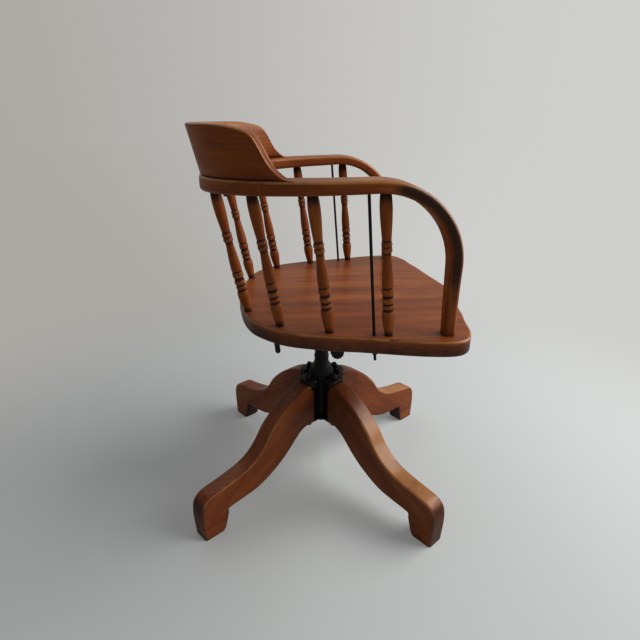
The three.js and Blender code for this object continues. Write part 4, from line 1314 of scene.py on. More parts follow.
@dataclass
class Arms:
    """Two arms, each bent from its front post, round, and back along the bow."""

    bow: Bow
    post_width: float = 26.0
    bend_width: float = 35.0
    post_thickness: float = 20.3
    foot_forward: float = 1.8

    def form(self) -> Form:
        """The left arm as one run of rounded sections.

        Up the post the width grows with the square of the height; round the bend the
        section turns from level to upright with the sine and cosine of the angle, and
        along the bow it follows the bow's own sections.

        Painted shade with dark varnish lies on the post's outer flank, and painted shade on the
        underside and where the foot meets the seat. The upper edges wear, more from the bend on,
        and the top is rubbed there, less towards the joint; both wears also paint a sheen there.

        Returns:
            The arm's shell, grain along its run.
        """
        bow = self.bow
        low = SEAT_TOP + GAP
        bend_z = bow.arm_top - bow.arm_thickness / 2 - bow.bend
        rise = np.linspace(0, 1, 16)[:-1]
        angle = np.linspace(0, QUARTER, 33)
        level = np.full(len(rise) + len(angle), 1.0)
        y = bow.post_y + np.concatenate([
            -self.foot_forward * (1 - rise) ** 2, bow.bend * (1 - np.cos(angle)),
        ])
        z = np.concatenate([low + (bend_z - low) * rise, bend_z + bow.bend * np.sin(angle)])
        turn = np.concatenate([rise * 0, angle])
        read = bow.at(np.linspace(0, bow.joint - GAP / bow.length(), 40)[1:])
        rear = np.ones(len(read.top))
        centre = np.vstack([np.stack([level * bow.post_x, y, z], 1), read.middle()])
        across = np.vstack([level[:, None] * (1, 0, 0), read.outward])
        up = np.vstack([
            np.stack([level * 0, np.cos(turn), -np.sin(turn)], 1), rear[:, None] * (0, 0, -1),
        ])
        width = np.concatenate([
            self.post_width + (self.bend_width - self.post_width) * rise**2,
            self.bend_width + (bow.arm_width - self.bend_width) * np.sin(angle / 2) * math.sqrt(2),
            read.width,
        ])[:, None]
        thickness = np.concatenate([
            self.post_thickness + (bow.arm_thickness - self.post_thickness) * (turn / QUARTER),
            read.thickness,
        ])[:, None]
        rings, out, down, near, run = rounded_rings(
            centre, across, up, width[:, 0] / 2, thickness[:, 0] / 2, bow.corner)
        # Painted shade with dark varnish on the post's outer flank, most up to the bend, and painted
        # shade on the underside.
        on_side = held((held(out / (width / 2)) - 0.80) * 7) * (1 - near * 0.5)
        over = held(0.5 - down / thickness, 0.12)
        bend_start, bend_end = run[len(rise), 0], run[len(turn) - 1, 0]
        dark = held((bend_end - 6 - run) / 30) * held((run - 35) / 75, 0.06)
        dirt_and_shade = np.maximum(on_side * (0.12 + 0.88 * dark), held((0.5 - over) * 2) * 0.35)
        # Painted shade where the foot meets the seat.
        foot = held(1 - run / 9) * 0.5
        # Worn upper edges, raised from the bend on, which also paints a sheen there.
        wear = held(near * over * (0.66 + 0.54 * held((run - bend_start) / 60)))
        # The top is worn lighter from the bend on, which also paints a sheen there.
        top_wear_and_sheen = held(-down / (thickness / 2) - 0.9, 0, 0.1) * 14
        top_wear_and_sheen = top_wear_and_sheen * held((run - bend_end + 90) / 90) * held((run[-1] - run) / 150, 0.3)
        wear = np.maximum(wear, top_wear_and_sheen * 0.5)
        return Form.loft(rings, np.stack([run, out, down], -1), wear, np.maximum(dirt_and_shade, foot))

    def build(self, shop: Workshop) -> None:
        """Fits both arms; the grain runs on from one through the rail into the other.

        Args:
            shop: what dresses the pieces and sets them on their bodies.
        """
        left = self.form()
        shop.fit("arm_left", left, FRAME_WOOD)
        right = left.moved(MIRROR)
        right.grain = right.grain * (-1, 1, 1) + (self.bow.whole_run(), 0, 0)
        shop.fit("arm_right", right, FRAME_WOOD)


@dataclass
class BackRail:
    """The middle of the bow, butted to both arms."""

    bow: Bow

    def form(self) -> Form:
        """Rounded sections along the bow from one joint to the other.

        The upper edges are worn; painted shade lies on the underside, and painted shade with
        some stain thinly on the outer face.

        Returns:
            The rail's shell, grain along its run.
        """
        start = self.bow.joint + GAP / self.bow.length()
        read = self.bow.at(np.linspace(start, 2 - start, 90))
        rings, out, up, near, run = rounded_rings(
            read.middle(), read.outward, UP, read.width / 2, read.thickness / 2, self.bow.corner)
        lines = np.stack([run + self.bow.arm_run(), out, -up], -1)
        over = held(0.5 + up / read.thickness[:, None], 0.12)
        outer = held(out / (read.width[:, None] / 2))
        # Painted shade on the underside, and painted shade with some stain on the outer face.
        dirt_and_shade = np.maximum((0.5 - over) * 0.7, held((outer - 0.8) * 7) * 0.14)
        return Form.loft(rings, lines, near * over * 0.9, dirt_and_shade)

    def build(self, shop: Workshop) -> None:
        """Fits the rail."""
        shop.fit("back_rail", self.form(), FRAME_WOOD)


@dataclass
class Crest:
    """The raised board on the bow, leaning back, its ends sweeping down to the arms.

    Attributes:
        toe: least height of its ends.
        sunk: how deep its low ends are let into the bow.
        left_forward: how much further forward its left end reaches.
        own_board: where its grain starts, so that it differs from the bow's.
        ends: rearward share of the outer face, and share of the full height there.
    """

    bow: Bow
    top: float = 763.0
    thickness: float = 21.0
    set_in: float = 3.0
    lean: float = 0.235
    corner: Span = (3.2, 9.0)
    toe: float = 1.0
    sunk: float = 1.4
    left_forward: float = 6.0
    own_board: float = 1500.0
    ends: Table = (
        (0.325, 0.0), (0.375, 0.02), (0.41, 0.055), (0.435, 0.10), (0.46, 0.175), (0.48, 0.26),
        (0.50, 0.38), (0.515, 0.51), (0.53, 0.635), (0.551, 0.755), (0.575, 0.82),
        (0.621, 0.87), (0.69, 0.915), (0.809, 0.965), (1.05, 1.0),
    )

    def outer_y(self, share: Array) -> Array:
        """Rearward place of the crest's outer face at shares of the run."""
        read = self.bow.at(share)
        return read.centre[:, 1] + read.outward[:, 1] * (read.width / 2 - self.set_in)

    def form(self) -> Form:
        """Rounded upright sections along the bow.

        The height at a place is the full height times the table's smooth reading at the
        outer face's rearward share, and every point leans back by a share of its height
        above the rail. The upper edges and the inner face are worn, the inner face's wear also
        painting the light on it, and painted shade darkens it where it meets the rail.

        Returns:
            The crest's shell, grain along its run.
        """
        bow = self.bow
        shares = np.linspace(0, 1, 4001)
        toe_y = self.ends[0][0] * bow.rear_reach
        start, end = np.interp((toe_y - self.left_forward, toe_y), self.outer_y(shares), shares)
        share = start + (2 - end - start) * np.linspace(0, 1, 190)
        read = bow.at(share)
        forward = np.where(share < 1, self.left_forward, 0.0)
        place = (self.outer_y(np.where(share <= 1, share, 2 - share)) + forward) / bow.rear_reach
        full = self.top - (bow.arm_top - bow.drop) - GAP
        rise = np.maximum(self.toe, full * hermite(self.ends, place))
        bottom = read.top + GAP - held((10 - rise) / 6) * self.sunk
        top = np.minimum(self.top, bottom + rise)
        offset = read.width / 2 - self.set_in - self.thickness / 2
        centre = read.centre + read.outward * offset[:, None]
        centre[:, 2] = (bottom + top) / 2
        rings, out, up, near, run = rounded_rings(
            centre, read.outward, UP, self.thickness / 2, (top - bottom) / 2, self.corner, 8)
        height = rings[..., 2] - bottom[:, None]
        rings[..., 1] += height * self.lean
        lines = np.stack([run + self.own_board, height, out], -1)
        upper = held(up / (self.thickness / 2))
        inside = held(0.5 - out / self.thickness)
        # Worn upper edges, and the inner face worn lighter higher up, which also paints the light on
        # it.
        wear = np.maximum(near * upper, inside * held(height - 20, 0, 40) / 40 * 0.62)
        tall = held((top - bottom - 7) / 12)[:, None]
        # Painted shade where it meets the rail.
        return Form.loft(rings, lines, wear, held(1 - height / 4.5) * 0.75 * tall)

    def build(self, shop: Workshop) -> None:
        """Fits the crest."""
        shop.fit("crest_rail", self.form(), FRAME_WOOD, name="crest_wood")


@dataclass
class Spindles:
    """Eight turned spindles between the seat and the bow.

    Attributes:
        profile: share of the length down from the head, and share of the radius there.
        places: name, foot and head in plan of each spindle on the left side.
    """

    bow: Bow
    radius: float = 10.3
    foot_radius: float = 6.5
    foot_tenon: float = 6.0
    head_tenon: float = 4.0
    profile: Table = (
        (0, 0.79), (0.05, 0.91), (0.10, 0.95), (0.17, 0.915), (0.26, 0.79), (0.312, 0.71),
        (0.322, 0.69), (0.328, 0.79), (0.340, 0.84), (0.352, 0.79), (0.358, 0.71), (0.364, 0.78),
        (0.377, 0.83), (0.390, 0.78), (0.399, 0.66), (0.412, 0.65), (0.48, 0.75), (0.56, 0.88),
        (0.62, 0.915), (0.637, 0.89), (0.646, 0.80), (0.653, 0.92), (0.661, 0.95), (0.682, 0.95),
        (0.692, 0.90), (0.700, 0.81), (0.716, 0.81), (0.722, 0.92), (0.738, 0.94), (0.752, 0.90),
        (0.759, 0.80), (0.770, 0.81), (0.776, 0.89), (0.784, 0.91), (0.792, 0.88), (0.799, 0.79),
        (0.808, 0.81), (0.822, 0.95), (0.850, 1.02), (0.89, 0.96), (0.94, 0.82), (0.98, 0.69),
        (1, 0.66),
    )
    places: tuple[tuple[str, Span, Span], ...] = (
        ("rear", (101, 147.5), (113, 190)),
        ("rear_side", (175.7, 89.5), (184, 127.5)),
        ("middle", (211, 8), (224, 37)),
        ("front_side", (231.5, -88), (233.5, -70)),
    )

    def form(self, length: float) -> Form:
        """A spindle up +Z: the smooth reading of the profile, turned, grain along it.

        Args:
            length: distance between the seat and the bow.

        Returns:
            The turned shell, painted shade in its grooves and at both ends, with deposits at the head.
        """
        down = np.linspace(0, 1, 230)
        radius = hermite(self.profile, down) * self.radius
        near = np.convolve(np.pad(radius, 7, mode="edge"), np.ones(15) / 15, mode="valid")
        # Painted shade in the grooves, at the head under the bow with deposits, and at the foot on the
        # seat.
        groove = held((near - radius) / 0.8) * 0.95
        shade = held(groove + held(1.25 - down / 0.075) * 0.95 + held((down - 0.94) / 0.06) * 0.75)
        profile = np.vstack([
            (radius[-1], -self.foot_tenon), np.column_stack([radius, length * (1 - down)])[::-1],
            (radius[0], length + self.head_tenon),
        ])
        rubbed = held((radius - near) / 0.9) * 0.7
        dirt_and_shade = np.concatenate([[0.5], shade[::-1], [0.4]])[:, None]
        wear = np.concatenate([[0], rubbed[::-1], [0]])[:, None]
        return lathe(profile, 28, dirt_and_shade, wear)

    def build(self, shop: Workshop) -> None:
        """Fits the eight spindles, each from its own stick.

        Args:
            shop: what dresses the pieces and sets them on their bodies.
        """
        for side in Side:
            for row, (name, *ends) in enumerate(self.places):
                low, high = self.bow.stick(side, *ends)
                form = self.form(math.dist(low, high))
                stick = row + (4 if side is Side.LEFT else 0)
                form.grain = form.grain + (stick * 310.0, stick * 17.0 - 40, stick * 5.0)
                shop.fit(f"spindle_{name}_{side.word}", form.moved(along(low, high)), FRAME_WOOD)


@dataclass
class TieRods:
    """Thin iron rods between arm and seat, each with a washer and a nut below the seat."""

    bow: Bow
    radius: float = 2.5
    foot: Span = (229.7, -64.0)
    head: Span = (232.0, -45.5)
    tail: float = 19.0
    bite: float = 4.0
    thread: float = 1.25
    nut_radius: float = 4.6
    nut_height: float = 5.0
    washer_radius: float = 5.6
    washer_thickness: float = 1.6

    def rod(self, length: float) -> Form:
        """The rod up +Z, its tail cut with a fine thread.

        The radius dips by a fifth of a millimetre with the height's place in each turn of
        the thread, offset by the angle, over the tail.

        Args:
            length: distance from the seat's top to the arm.

        Returns:
            The rod.
        """
        cut = -SEAT_THICKNESS
        tail = np.arange(cut - self.tail, cut, self.thread / 6)
        z = np.concatenate([tail, np.linspace(cut, length + self.bite, 12)])
        phase = np.mod(z[:, None] / self.thread - angles(16) / TURN, 1)
        dip = np.abs(phase - 0.5) * 2 * np.where(z < cut - 1, 0.22, 0.0)[:, None]
        return Form.loft(round_rings(self.radius - dip, z))

    def build(self, shop: Workshop) -> None:
        """Fits the rods, washers and nuts of both sides.

        Args:
            shop: what dresses the pieces and sets them on their bodies.
        """
        for side in Side:
            low, high = self.bow.stick(side, self.foot, self.head)
            length = math.dist(low, high)
            lean = math.acos((high[2] - low[2]) / length)
            washer_top = -SEAT_THICKNESS - GAP * 2 - self.washer_radius * math.tan(lean)
            washer_low = washer_top - self.washer_thickness
            nut_top = washer_low - GAP
            bore = self.radius + GAP
            for name, form in (
                ("tie_rod", self.rod(length)),
                ("rod_washer", washer(bore, self.washer_radius, washer_low, washer_top, 0.3)),
                ("rod_nut", hexagon(self.nut_radius, bore, nut_top - self.nut_height, nut_top)),
            ):
                shop.fit(f"{name}_{side.word}", form.moved(along(low, high)), IRON)


@dataclass
class Legs:
    """Four legs sawn from boards set on edge, meeting at the hub."""

    reach: float = 330.85
    height: float = 240.0
    thickness: float = 38.0
    edge: float = 4.6
    root_half: float = 9.8
    root_run: float = 9.3
    grain_slope: float = -0.62
    # The front legs' tops are worn far more than the rear ones', which also paints the light on them.
    rubbed: float = 0.85
    rear_rubbed: float = 0.1
    upper: Table = (
        (0.0, 1.0), (0.09, 1), (0.163, 0.971), (0.263, 0.9), (0.333, 0.833), (0.417, 0.733),
        (0.487, 0.6125), (0.557, 0.529), (0.64, 0.475), (0.73, 0.446), (0.813, 0.425),
        (0.897, 0.408), (0.947, 0.3875), (0.987, 0.333), (1, 0.2375), (0.997, 0.125), (0.99, 0),
    )
    lower: Table = (
        (0.0, 0.604), (0.08, 0.604), (0.122, 0.59), (0.163, 0.5625), (0.213, 0.508),
        (0.277, 0.429), (0.363, 0.348), (0.457, 0.281), (0.55, 0.235), (0.637, 0.217),
        (0.723, 0.206), (0.78, 0.198), (0.797, 0.185), (0.797, 0.158), (0.807, 0.104),
        (0.827, 0.025), (0.843, 0),
    )

    def side_curve(self, table: Table) -> Array:
        """One side's outline: straight at the root, then a smooth curve to the foot.

        Args:
            table: shares of the reach and of the height, from the root.

        Returns:
            The outline's places along X and Z.
        """
        x, z = np.array(table).T
        rows = np.column_stack([LEG_ROOT + x * (self.reach - LEG_ROOT), z * self.height])
        straight = rows[0] + (rows[1] - rows[0]) * np.linspace(0, 1, 9)[:-1, None]
        return np.vstack([straight, spline(rows[1:], 6)])

    def form(self, rubbed: float) -> Form:
        """One leg along +X.

        Each section stands between a point of the upper outline and the matching point of
        the lower one, as wide as the board, less at the root, where the four legs meet.

        The top and its edges are worn further out. Painted shade with deposits lies near the hub,
        at the floor and below the foot; the end of the toe is darker as end grain and painted
        shade, and painted shade lies thinly on the lower half.

        Args:
            rubbed: how worn and so how light its top is, where feet rest; more on the front legs,
                which also paints the light on their tops.

        Returns:
            The leg's shell, its grain straight down the slope of the board.
        """
        over, under = (
            np.insert(self.side_curve(table), 1, 0.0, axis=1) for table in (self.upper, self.lower)
        )
        centre = (over + under) / 2
        rise = np.linalg.norm(over - under, axis=1)
        slope = (self.thickness / 2 - self.root_half) / self.root_run
        half = np.minimum(self.thickness / 2, self.root_half + (centre[:, 0] - LEG_ROOT) * slope)
        rings, _, upward, near, _ = rounded_rings(
            centre, np.array([0.0, 1.0, 0.0]), (over - under) / rise[:, None], half, rise / 2,
            self.edge, 6)
        x, y, z = np.moveaxis(rings, -1, 0)
        cos, sin = math.cos(self.grain_slope), math.sin(self.grain_slope)
        lines = np.stack([x * cos + z * sin, z * cos - x * sin, y], -1)
        out = held((x - 90) / 60)
        tilt = upward / (rise[:, None] / 2)
        share = (x - LEG_ROOT) / (self.reach - LEG_ROOT)
        on_top = held((tilt - 0.8) * 9)
        wear = near * (0.32 + 0.42 * held(tilt)) * (0.45 + 0.55 * out)
        tread = on_top * out * held((0.985 - share) / 0.05)
        # Painted shade with deposits near the hub, at the floor and below the foot; end grain with
        # painted shade at the toe's end; painted shade on the lower half.
        dirt_and_shade = np.max([
            (1 - out) * 0.38,
            held(1 - z / 5) * 0.75,
            held((-tilt - 0.8) * 9) * held((share - 0.74) / 0.03) * 0.95,
            on_top * held((share - 0.955) / 0.03) * 0.60,
            held(-tilt) * 0.22,
        ], axis=0)
        return Form.loft(rings, lines, np.maximum(wear, tread * rubbed), dirt_and_shade)

    def build(self, shop: Workshop) -> None:
        """Fits the four legs, each from its own board.

        Args:
            shop: what dresses the pieces and sets them on their bodies.
        """
        for row, name in enumerate(LEG_NAMES):
            leg = self.form(self.rubbed if name.startswith("front") else self.rear_rubbed)
            leg.grain = leg.grain + (row * 410.0, row * 61.0, row * 23.0 - 20)
            shop.fit(f"leg_{name}", leg.moved(leg_turn(row)), SHADED_LEG_WOOD, Body.BASE)


@dataclass
class Hub:
    """The casting that holds the legs, the plate below them, and their bolts and nuts.

    Attributes:
        foot_inner: inner reach of the plate's arms, and half their width there.
        foot_ring: radius of the round middle of the plate.
    """

    leg_root_bottom: float = 144.96
    leg_half: float = 19.3
    tube_radius: float = 14.0
    tube_bottom: float = 131.96
    plate_low: float = 229.0
    plate_high: float = 234.5
    plate_radius: float = 21.0
    boss_radius: float = 19.0
    boss_top: float = 243.0
    arm_half: float = 11.0
    wall: float = 2.7
    fin_inner: float = 11.8
    lug_low: float = 240.3
    lug_high: float = 249.0
    lug_half: float = 21.5
    lug_reach: float = 53.0
    flange: float = 12.0
    rib_half: float = 5.0
    bolt_place: float = 40.0
    bolt_radius: float = 4.0
    bolt_head: float = 6.5
    bolt_head_height: float = 11.0
    bolt_rim: float = 3.2
    nut_radius: float = 7.8
    nut_height: float = 6.0
    foot_inner: Span = (15.5, 11.5)
    foot_reach: float = 51.0
    foot_half: float = 12.0
    foot_ring: float = 21.6
    foot_thickness: float = 6.0

    def lug(self) -> list[Form]:
        """One leg's lug along +X: fin, rib, wall, saddle plate and the flanges down the leg.

        Returns:
            The lug's shells.
        """
        half, reach, arm_half = self.lug_half, self.lug_reach, self.arm_half
        outer = LEG_ROOT - GAP
        inner = outer - self.wall
        arm = (-arm_half, arm_half)
        saddle = rounded_outline([
            (inner, -arm_half), (LEG_ROOT + 2, -half), (reach, -half), (reach, half),
            (LEG_ROOT + 2, half), (inner, arm_half),
        ], (1.0, 3.0, 12.0, 12.0, 3.0, 1.0), 6)
        low = self.lug_low - self.flange
        side = rounded_outline([
            (LEG_ROOT + 1, low + 7), (LEG_ROOT + 8, low), (reach - 11, low),
            (reach - 4, self.lug_low + 1), (LEG_ROOT + 1, self.lug_low + 3),
        ], (3.0, 4.0, 5.0, 3.0, 1.0), 5)
        edge = min(0.9, (half - self.leg_half) * 0.4)
        return [
            plate((self.fin_inner, outer), (-self.rib_half, self.rib_half),
                  (self.leg_root_bottom + 0.4, self.plate_high - 0.4), 0.8, 0.8),
            plate((SCREW_BORE + 0.8, outer), arm, (self.plate_low, self.plate_high), 1.2, 0.9),
            plate((inner, outer), arm, (self.plate_low + 1, self.lug_high - 1), 0.6, 0.5),
            slab(saddle, self.lug_low, self.lug_high, 2.2, 5),
            *(
                slab(side, start, end, edge, 3).moved(turn_about(QUARTER, "X"))
                for start, end in ((-half, -self.leg_half), (self.leg_half, half))
            ),
        ]

    def casting(self) -> Form:
        """The tube with its rim, the round plate, the boss and the four lugs.

        Returns:
            The casting's shells.
        """
        r, low, bore = self.tube_radius, self.tube_bottom, SCREW_BORE
        rim, boss, high, top = self.plate_radius, self.boss_radius, self.plate_high, self.boss_top
        tube = hollow([
            (bore, low), (r - 0.8, low), (r, low + 0.8), (r, low + 9.5), (r - 0.5, low + 11),
            (r - 0.5, 200), (r - 0.2, 216), (r + 2.2, 224), (rim - 1.5, self.plate_low),
            (rim, self.plate_low + 1.5), (rim, high - 1), (rim - 1, high), (boss, high),
            (boss, top - 0.8), (boss - 0.8, top), (bore, top),
        ], 48)
        lugs = (part.moved(leg_turn(row)) for row in range(4) for part in self.lug())
        return Form.join([tube, *lugs])

    def foot_plate(self) -> Form:
        """The four armed plate under the legs' roots, with a round hole for the tube.

        Returns:
            The plate's shells.
        """
        top = self.leg_root_bottom - GAP
        low = top - self.foot_thickness
        (near, near_half), far, far_half = self.foot_inner, self.foot_reach, self.foot_half
        arm = slab(rounded_outline([
            (near, -near_half), (far, -far_half), (far, far_half), (near, near_half),
        ], (0.8, 4.0, 4.0, 0.8), 5), low, top, 1.1)
        ring = washer(self.tube_radius + GAP, self.foot_ring, low, top, 1.0)
        return Form.join([ring, *(arm.moved(leg_turn(row)) for row in range(4))])

    def build(self, shop: Workshop) -> None:
        """Fits the casting, the plate, the bolts and the nuts.

        Args:
            shop: what dresses the pieces and sets them on their bodies.
        """
        shop.fit("hub_casting", self.casting(), IRON, Body.BASE)
        shop.fit("hub_foot_plate", self.foot_plate(), IRON, Body.BASE)
        nut_top = self.leg_root_bottom - GAP * 2 - self.foot_thickness
        nut_low = nut_top - self.nut_height
        seat = self.lug_high + GAP
        dome = np.linspace(0, QUARTER, 9)[:-1]
        r, head, rim = self.bolt_radius, self.bolt_head, self.bolt_rim
        profile = np.vstack([
            (r - 0.6, nut_low - 2), (r, nut_low - 1.4), (r, seat), (head - 0.5, seat),
            (head, seat + 0.5),
            np.column_stack([
                head * np.cos(dome), seat + rim + (self.bolt_head_height - rim) * np.sin(dome),
            ]),
        ])
        bolt = lathe(profile, 28, wear=held((profile[:, 1:] - seat - 2) / 8) * 0.8)
        nut = hexagon(self.nut_radius, r + GAP, nut_low, nut_top)
        for row, name in enumerate(LEG_NAMES):
            place = leg_turn(row) @ shift(self.bolt_place)
            shop.fit(f"leg_bolt_{name}", bolt.moved(place), IRON, Body.BASE)
            shop.fit(f"leg_nut_{name}", nut.moved(place), IRON, Body.BASE)


@dataclass
class HeightScrew:
    """The screw, its thrust washer and the ribbed hand wheel."""

    radius: float = 11.0
    low: float = 133.96
    high: float = 329.8
    pitch: float = 6.0
    depth: float = 1.5
    wheel_radius: float = 26.6
    flutes: int = 24
    flute_depth: float = 1.5
    wheel_low: float = 235.5
    skirt: float = 21.5
    bell: float = 30.0
    neck: float = 15.5
    cup: float = 21.5
    cup_top: float = 247.6
    washer_low: float = 243.3
    washer_high: float = 247.3
    washer_radius: float = 20.0
    shares: Table = (
        (0.0, 0.0), (0.06, 0.09), (0.17, 0.24), (0.37, 0.5), (0.6, 0.8), (0.8, 1.0), (1.0, 1.0),
    )

    def screw(self) -> Form:
        """The spindle: a rounded thread wound round the core.

        The radius is the core's plus the thread's depth times the raised cosine of the
        height over the pitch less the angle's share of a turn.

        Returns:
            The screw's shell; the painted shade in its thread is not read by the steel finish.
        """
        z = np.linspace(self.low, self.high, int((self.high - self.low) / self.pitch * 12))
        crest = held(0.5 + 0.95 * np.cos(z[:, None] / self.pitch * TURN - angles(36)))
        fade = held(np.minimum(z - self.low, self.high - z) / 3)[:, None]
        radius = self.radius - self.depth * (1 - crest * fade)
        return Form.loft(round_rings(radius, z), wear=crest, dirt_and_shade=1 - crest)

    def wheel(self) -> Form:
        """The hand wheel: a ribbed skirt, a bell above it and a cup for the washer below.

        Down the profile, each row's radius is cut by the flute's depth times the raised
        cosine of the flutes' count times the angle, in full on the skirt and fading up
        the bell.

        Returns:
            The wheel's shell, worn on its ribs.
        """
        r, base, bore = self.wheel_radius, self.wheel_low, SCREW_BORE
        top = base + self.skirt
        rise = np.linspace(0, 1, 14)
        inward = hermite(self.shares, rise)
        rows = np.vstack([
            (r - 1.6, base, 0.5), (r - 0.5, base + 0.6, 0.8), (r, base + 1.8, 1.0),
            (r, base + 8, 1.0), (r, top - 1.5, 1.0),
            np.column_stack([
                self.neck + (r - self.flute_depth * 0.4 - self.neck) * (1 - inward),
                top + self.bell * rise, held(1 - rise * 2.2),
            ]),
            (bore, top + self.bell, 0), (bore, self.cup_top, 0), (self.cup, self.cup_top, 0),
            (self.cup, base, 0),
        ])
        return ribbed(rows, self.flutes, 0.85, self.flute_depth * 1.25, 0.85, capped=False)

    def build(self, shop: Workshop) -> None:
        """Fits the screw, the wheel and the washer.

        Args:
            shop: what dresses the pieces and sets them on their bodies.
        """
        shop.fit("screw_spindle", self.screw(), STEEL, Body.COLUMN, THREAD_SHARP)
        shop.fit("hand_wheel", self.wheel(), IRON, Body.WHEEL)
        disc = washer(SCREW_BORE, self.washer_radius, self.washer_low, self.washer_high)
        shop.fit("thrust_washer", disc, STEEL, Body.WASHER)


@dataclass
class TiltHead:
    """The iron head on the screw: collar, pivot barrel, the slotted arm to the rear, cross pin.

    Attributes:
        pin_room: half the square that the web leaves free round the pivot pin.
        slot: where the arm's slot starts and ends.
        cross_pin: its radius, half its length and its height.
    """

    collar: float = 16.0
    low: float = 287.3
    high: float = 333.8
    barrel: float = 13.0
    barrel_half: float = 44.0
    barrel_bore: float = 6.3
    pin_room: float = 7.2
    web_half: float = 13.0
    web_low: float = 311.8
    arm_half: float = 16.0
    arm_reach: float = 123.0
    gusset_run: float = 62.0
    gusset_low: float = 309.0
    slot_half: float = 6.3
    slot: Span = (92.1, 117.4)
    cross_pin: Triple = (2.5, 17.5, 309.8)

    def form(self) -> Form:
        """Collar, barrel, web, gusset, and the arm's rails round its slot.

        Returns:
            The head's shells.
        """
        r, low, high = self.collar, self.low, self.high
        collar = lathe([
            (r - 1.4, low), (r - 0.4, low + 0.5), (r, low + 1.6), (r, low + 7), (r - 1.2, low + 9),
            (r - 1.2, high - 12), (r, high - 9), (r, high - 1.5), (r - 1.5, high),
        ], 48)
        hole, b, end = self.barrel_bore, self.barrel, self.barrel_half
        barrel = hollow([
            (hole, -end), (b - 1, -end), (b, -end + 1), (b, -end + 7), (b - 1.2, -end + 9),
            (b - 1.2, end - 9), (b, end - 7), (b, end - 1), (b - 1, end), (hole, end),
        ], 40).moved(at_pivot())
        y, under = PIVOT_Y + self.pin_room, PIVOT_Z - self.pin_room
        web = slab(rounded_outline([
            (PIVOT_Y, self.web_low + 3), (0, self.web_low - 8), (0, high - 2), (y, high - 2),
            (y, under), (PIVOT_Y, under),
        ], 1.5), -self.web_half, self.web_half, 1.5).moved(CROSSWISE)
        gusset = slab(rounded_outline([
            (2, TILT_ARM_LOW + 2), (2, self.gusset_low + 1), (r, self.gusset_low),
            (self.gusset_run, TILT_ARM_LOW + 1), (self.gusset_run, TILT_ARM_LOW + 4),
        ], (1.0, 1.0, 2.0, 1.5, 1.0)), -8, 8, 2.0).moved(CROSSWISE)
        (near, far), half, inner = self.slot, self.arm_half, self.slot_half
        arm = slab(rounded_outline([
            (-half + 2, 2), (-half, near - 8), (-half, near), (half, near), (half, near - 8),
            (half - 2, 2),
        ][::-1], 1.0), TILT_ARM_LOW, TILT_ARM_HIGH, 1.6)
        side, end = (near - 2, self.arm_reach - 2), (far, self.arm_reach)
        rails = (
            plate(x, y, (TILT_ARM_LOW, TILT_ARM_HIGH), 2.0, 1.6)
            for x, y in (((inner, half), side), ((-half, -inner), side), ((-half, half), end))
        )
        return Form.join([collar, barrel, web, gusset, arm, *rails])

    def build(self, shop: Workshop) -> None:
        """Fits the head and its cross pin.

        Args:
            shop: what dresses the pieces and sets them on their bodies.
        """
        shop.fit("tilt_head", self.form(), IRON, Body.COLUMN)
        r, half, height = self.cross_pin
        pin = lathe([(r - 0.6, -half), (r, -half + 0.6), (r, half - 0.6), (r - 0.6, half)], 24)
        place = shift(0, 0, height) @ turn_about(QUARTER, "Y")
        shop.fit("head_pin", pin.moved(place), STEEL, Body.COLUMN)


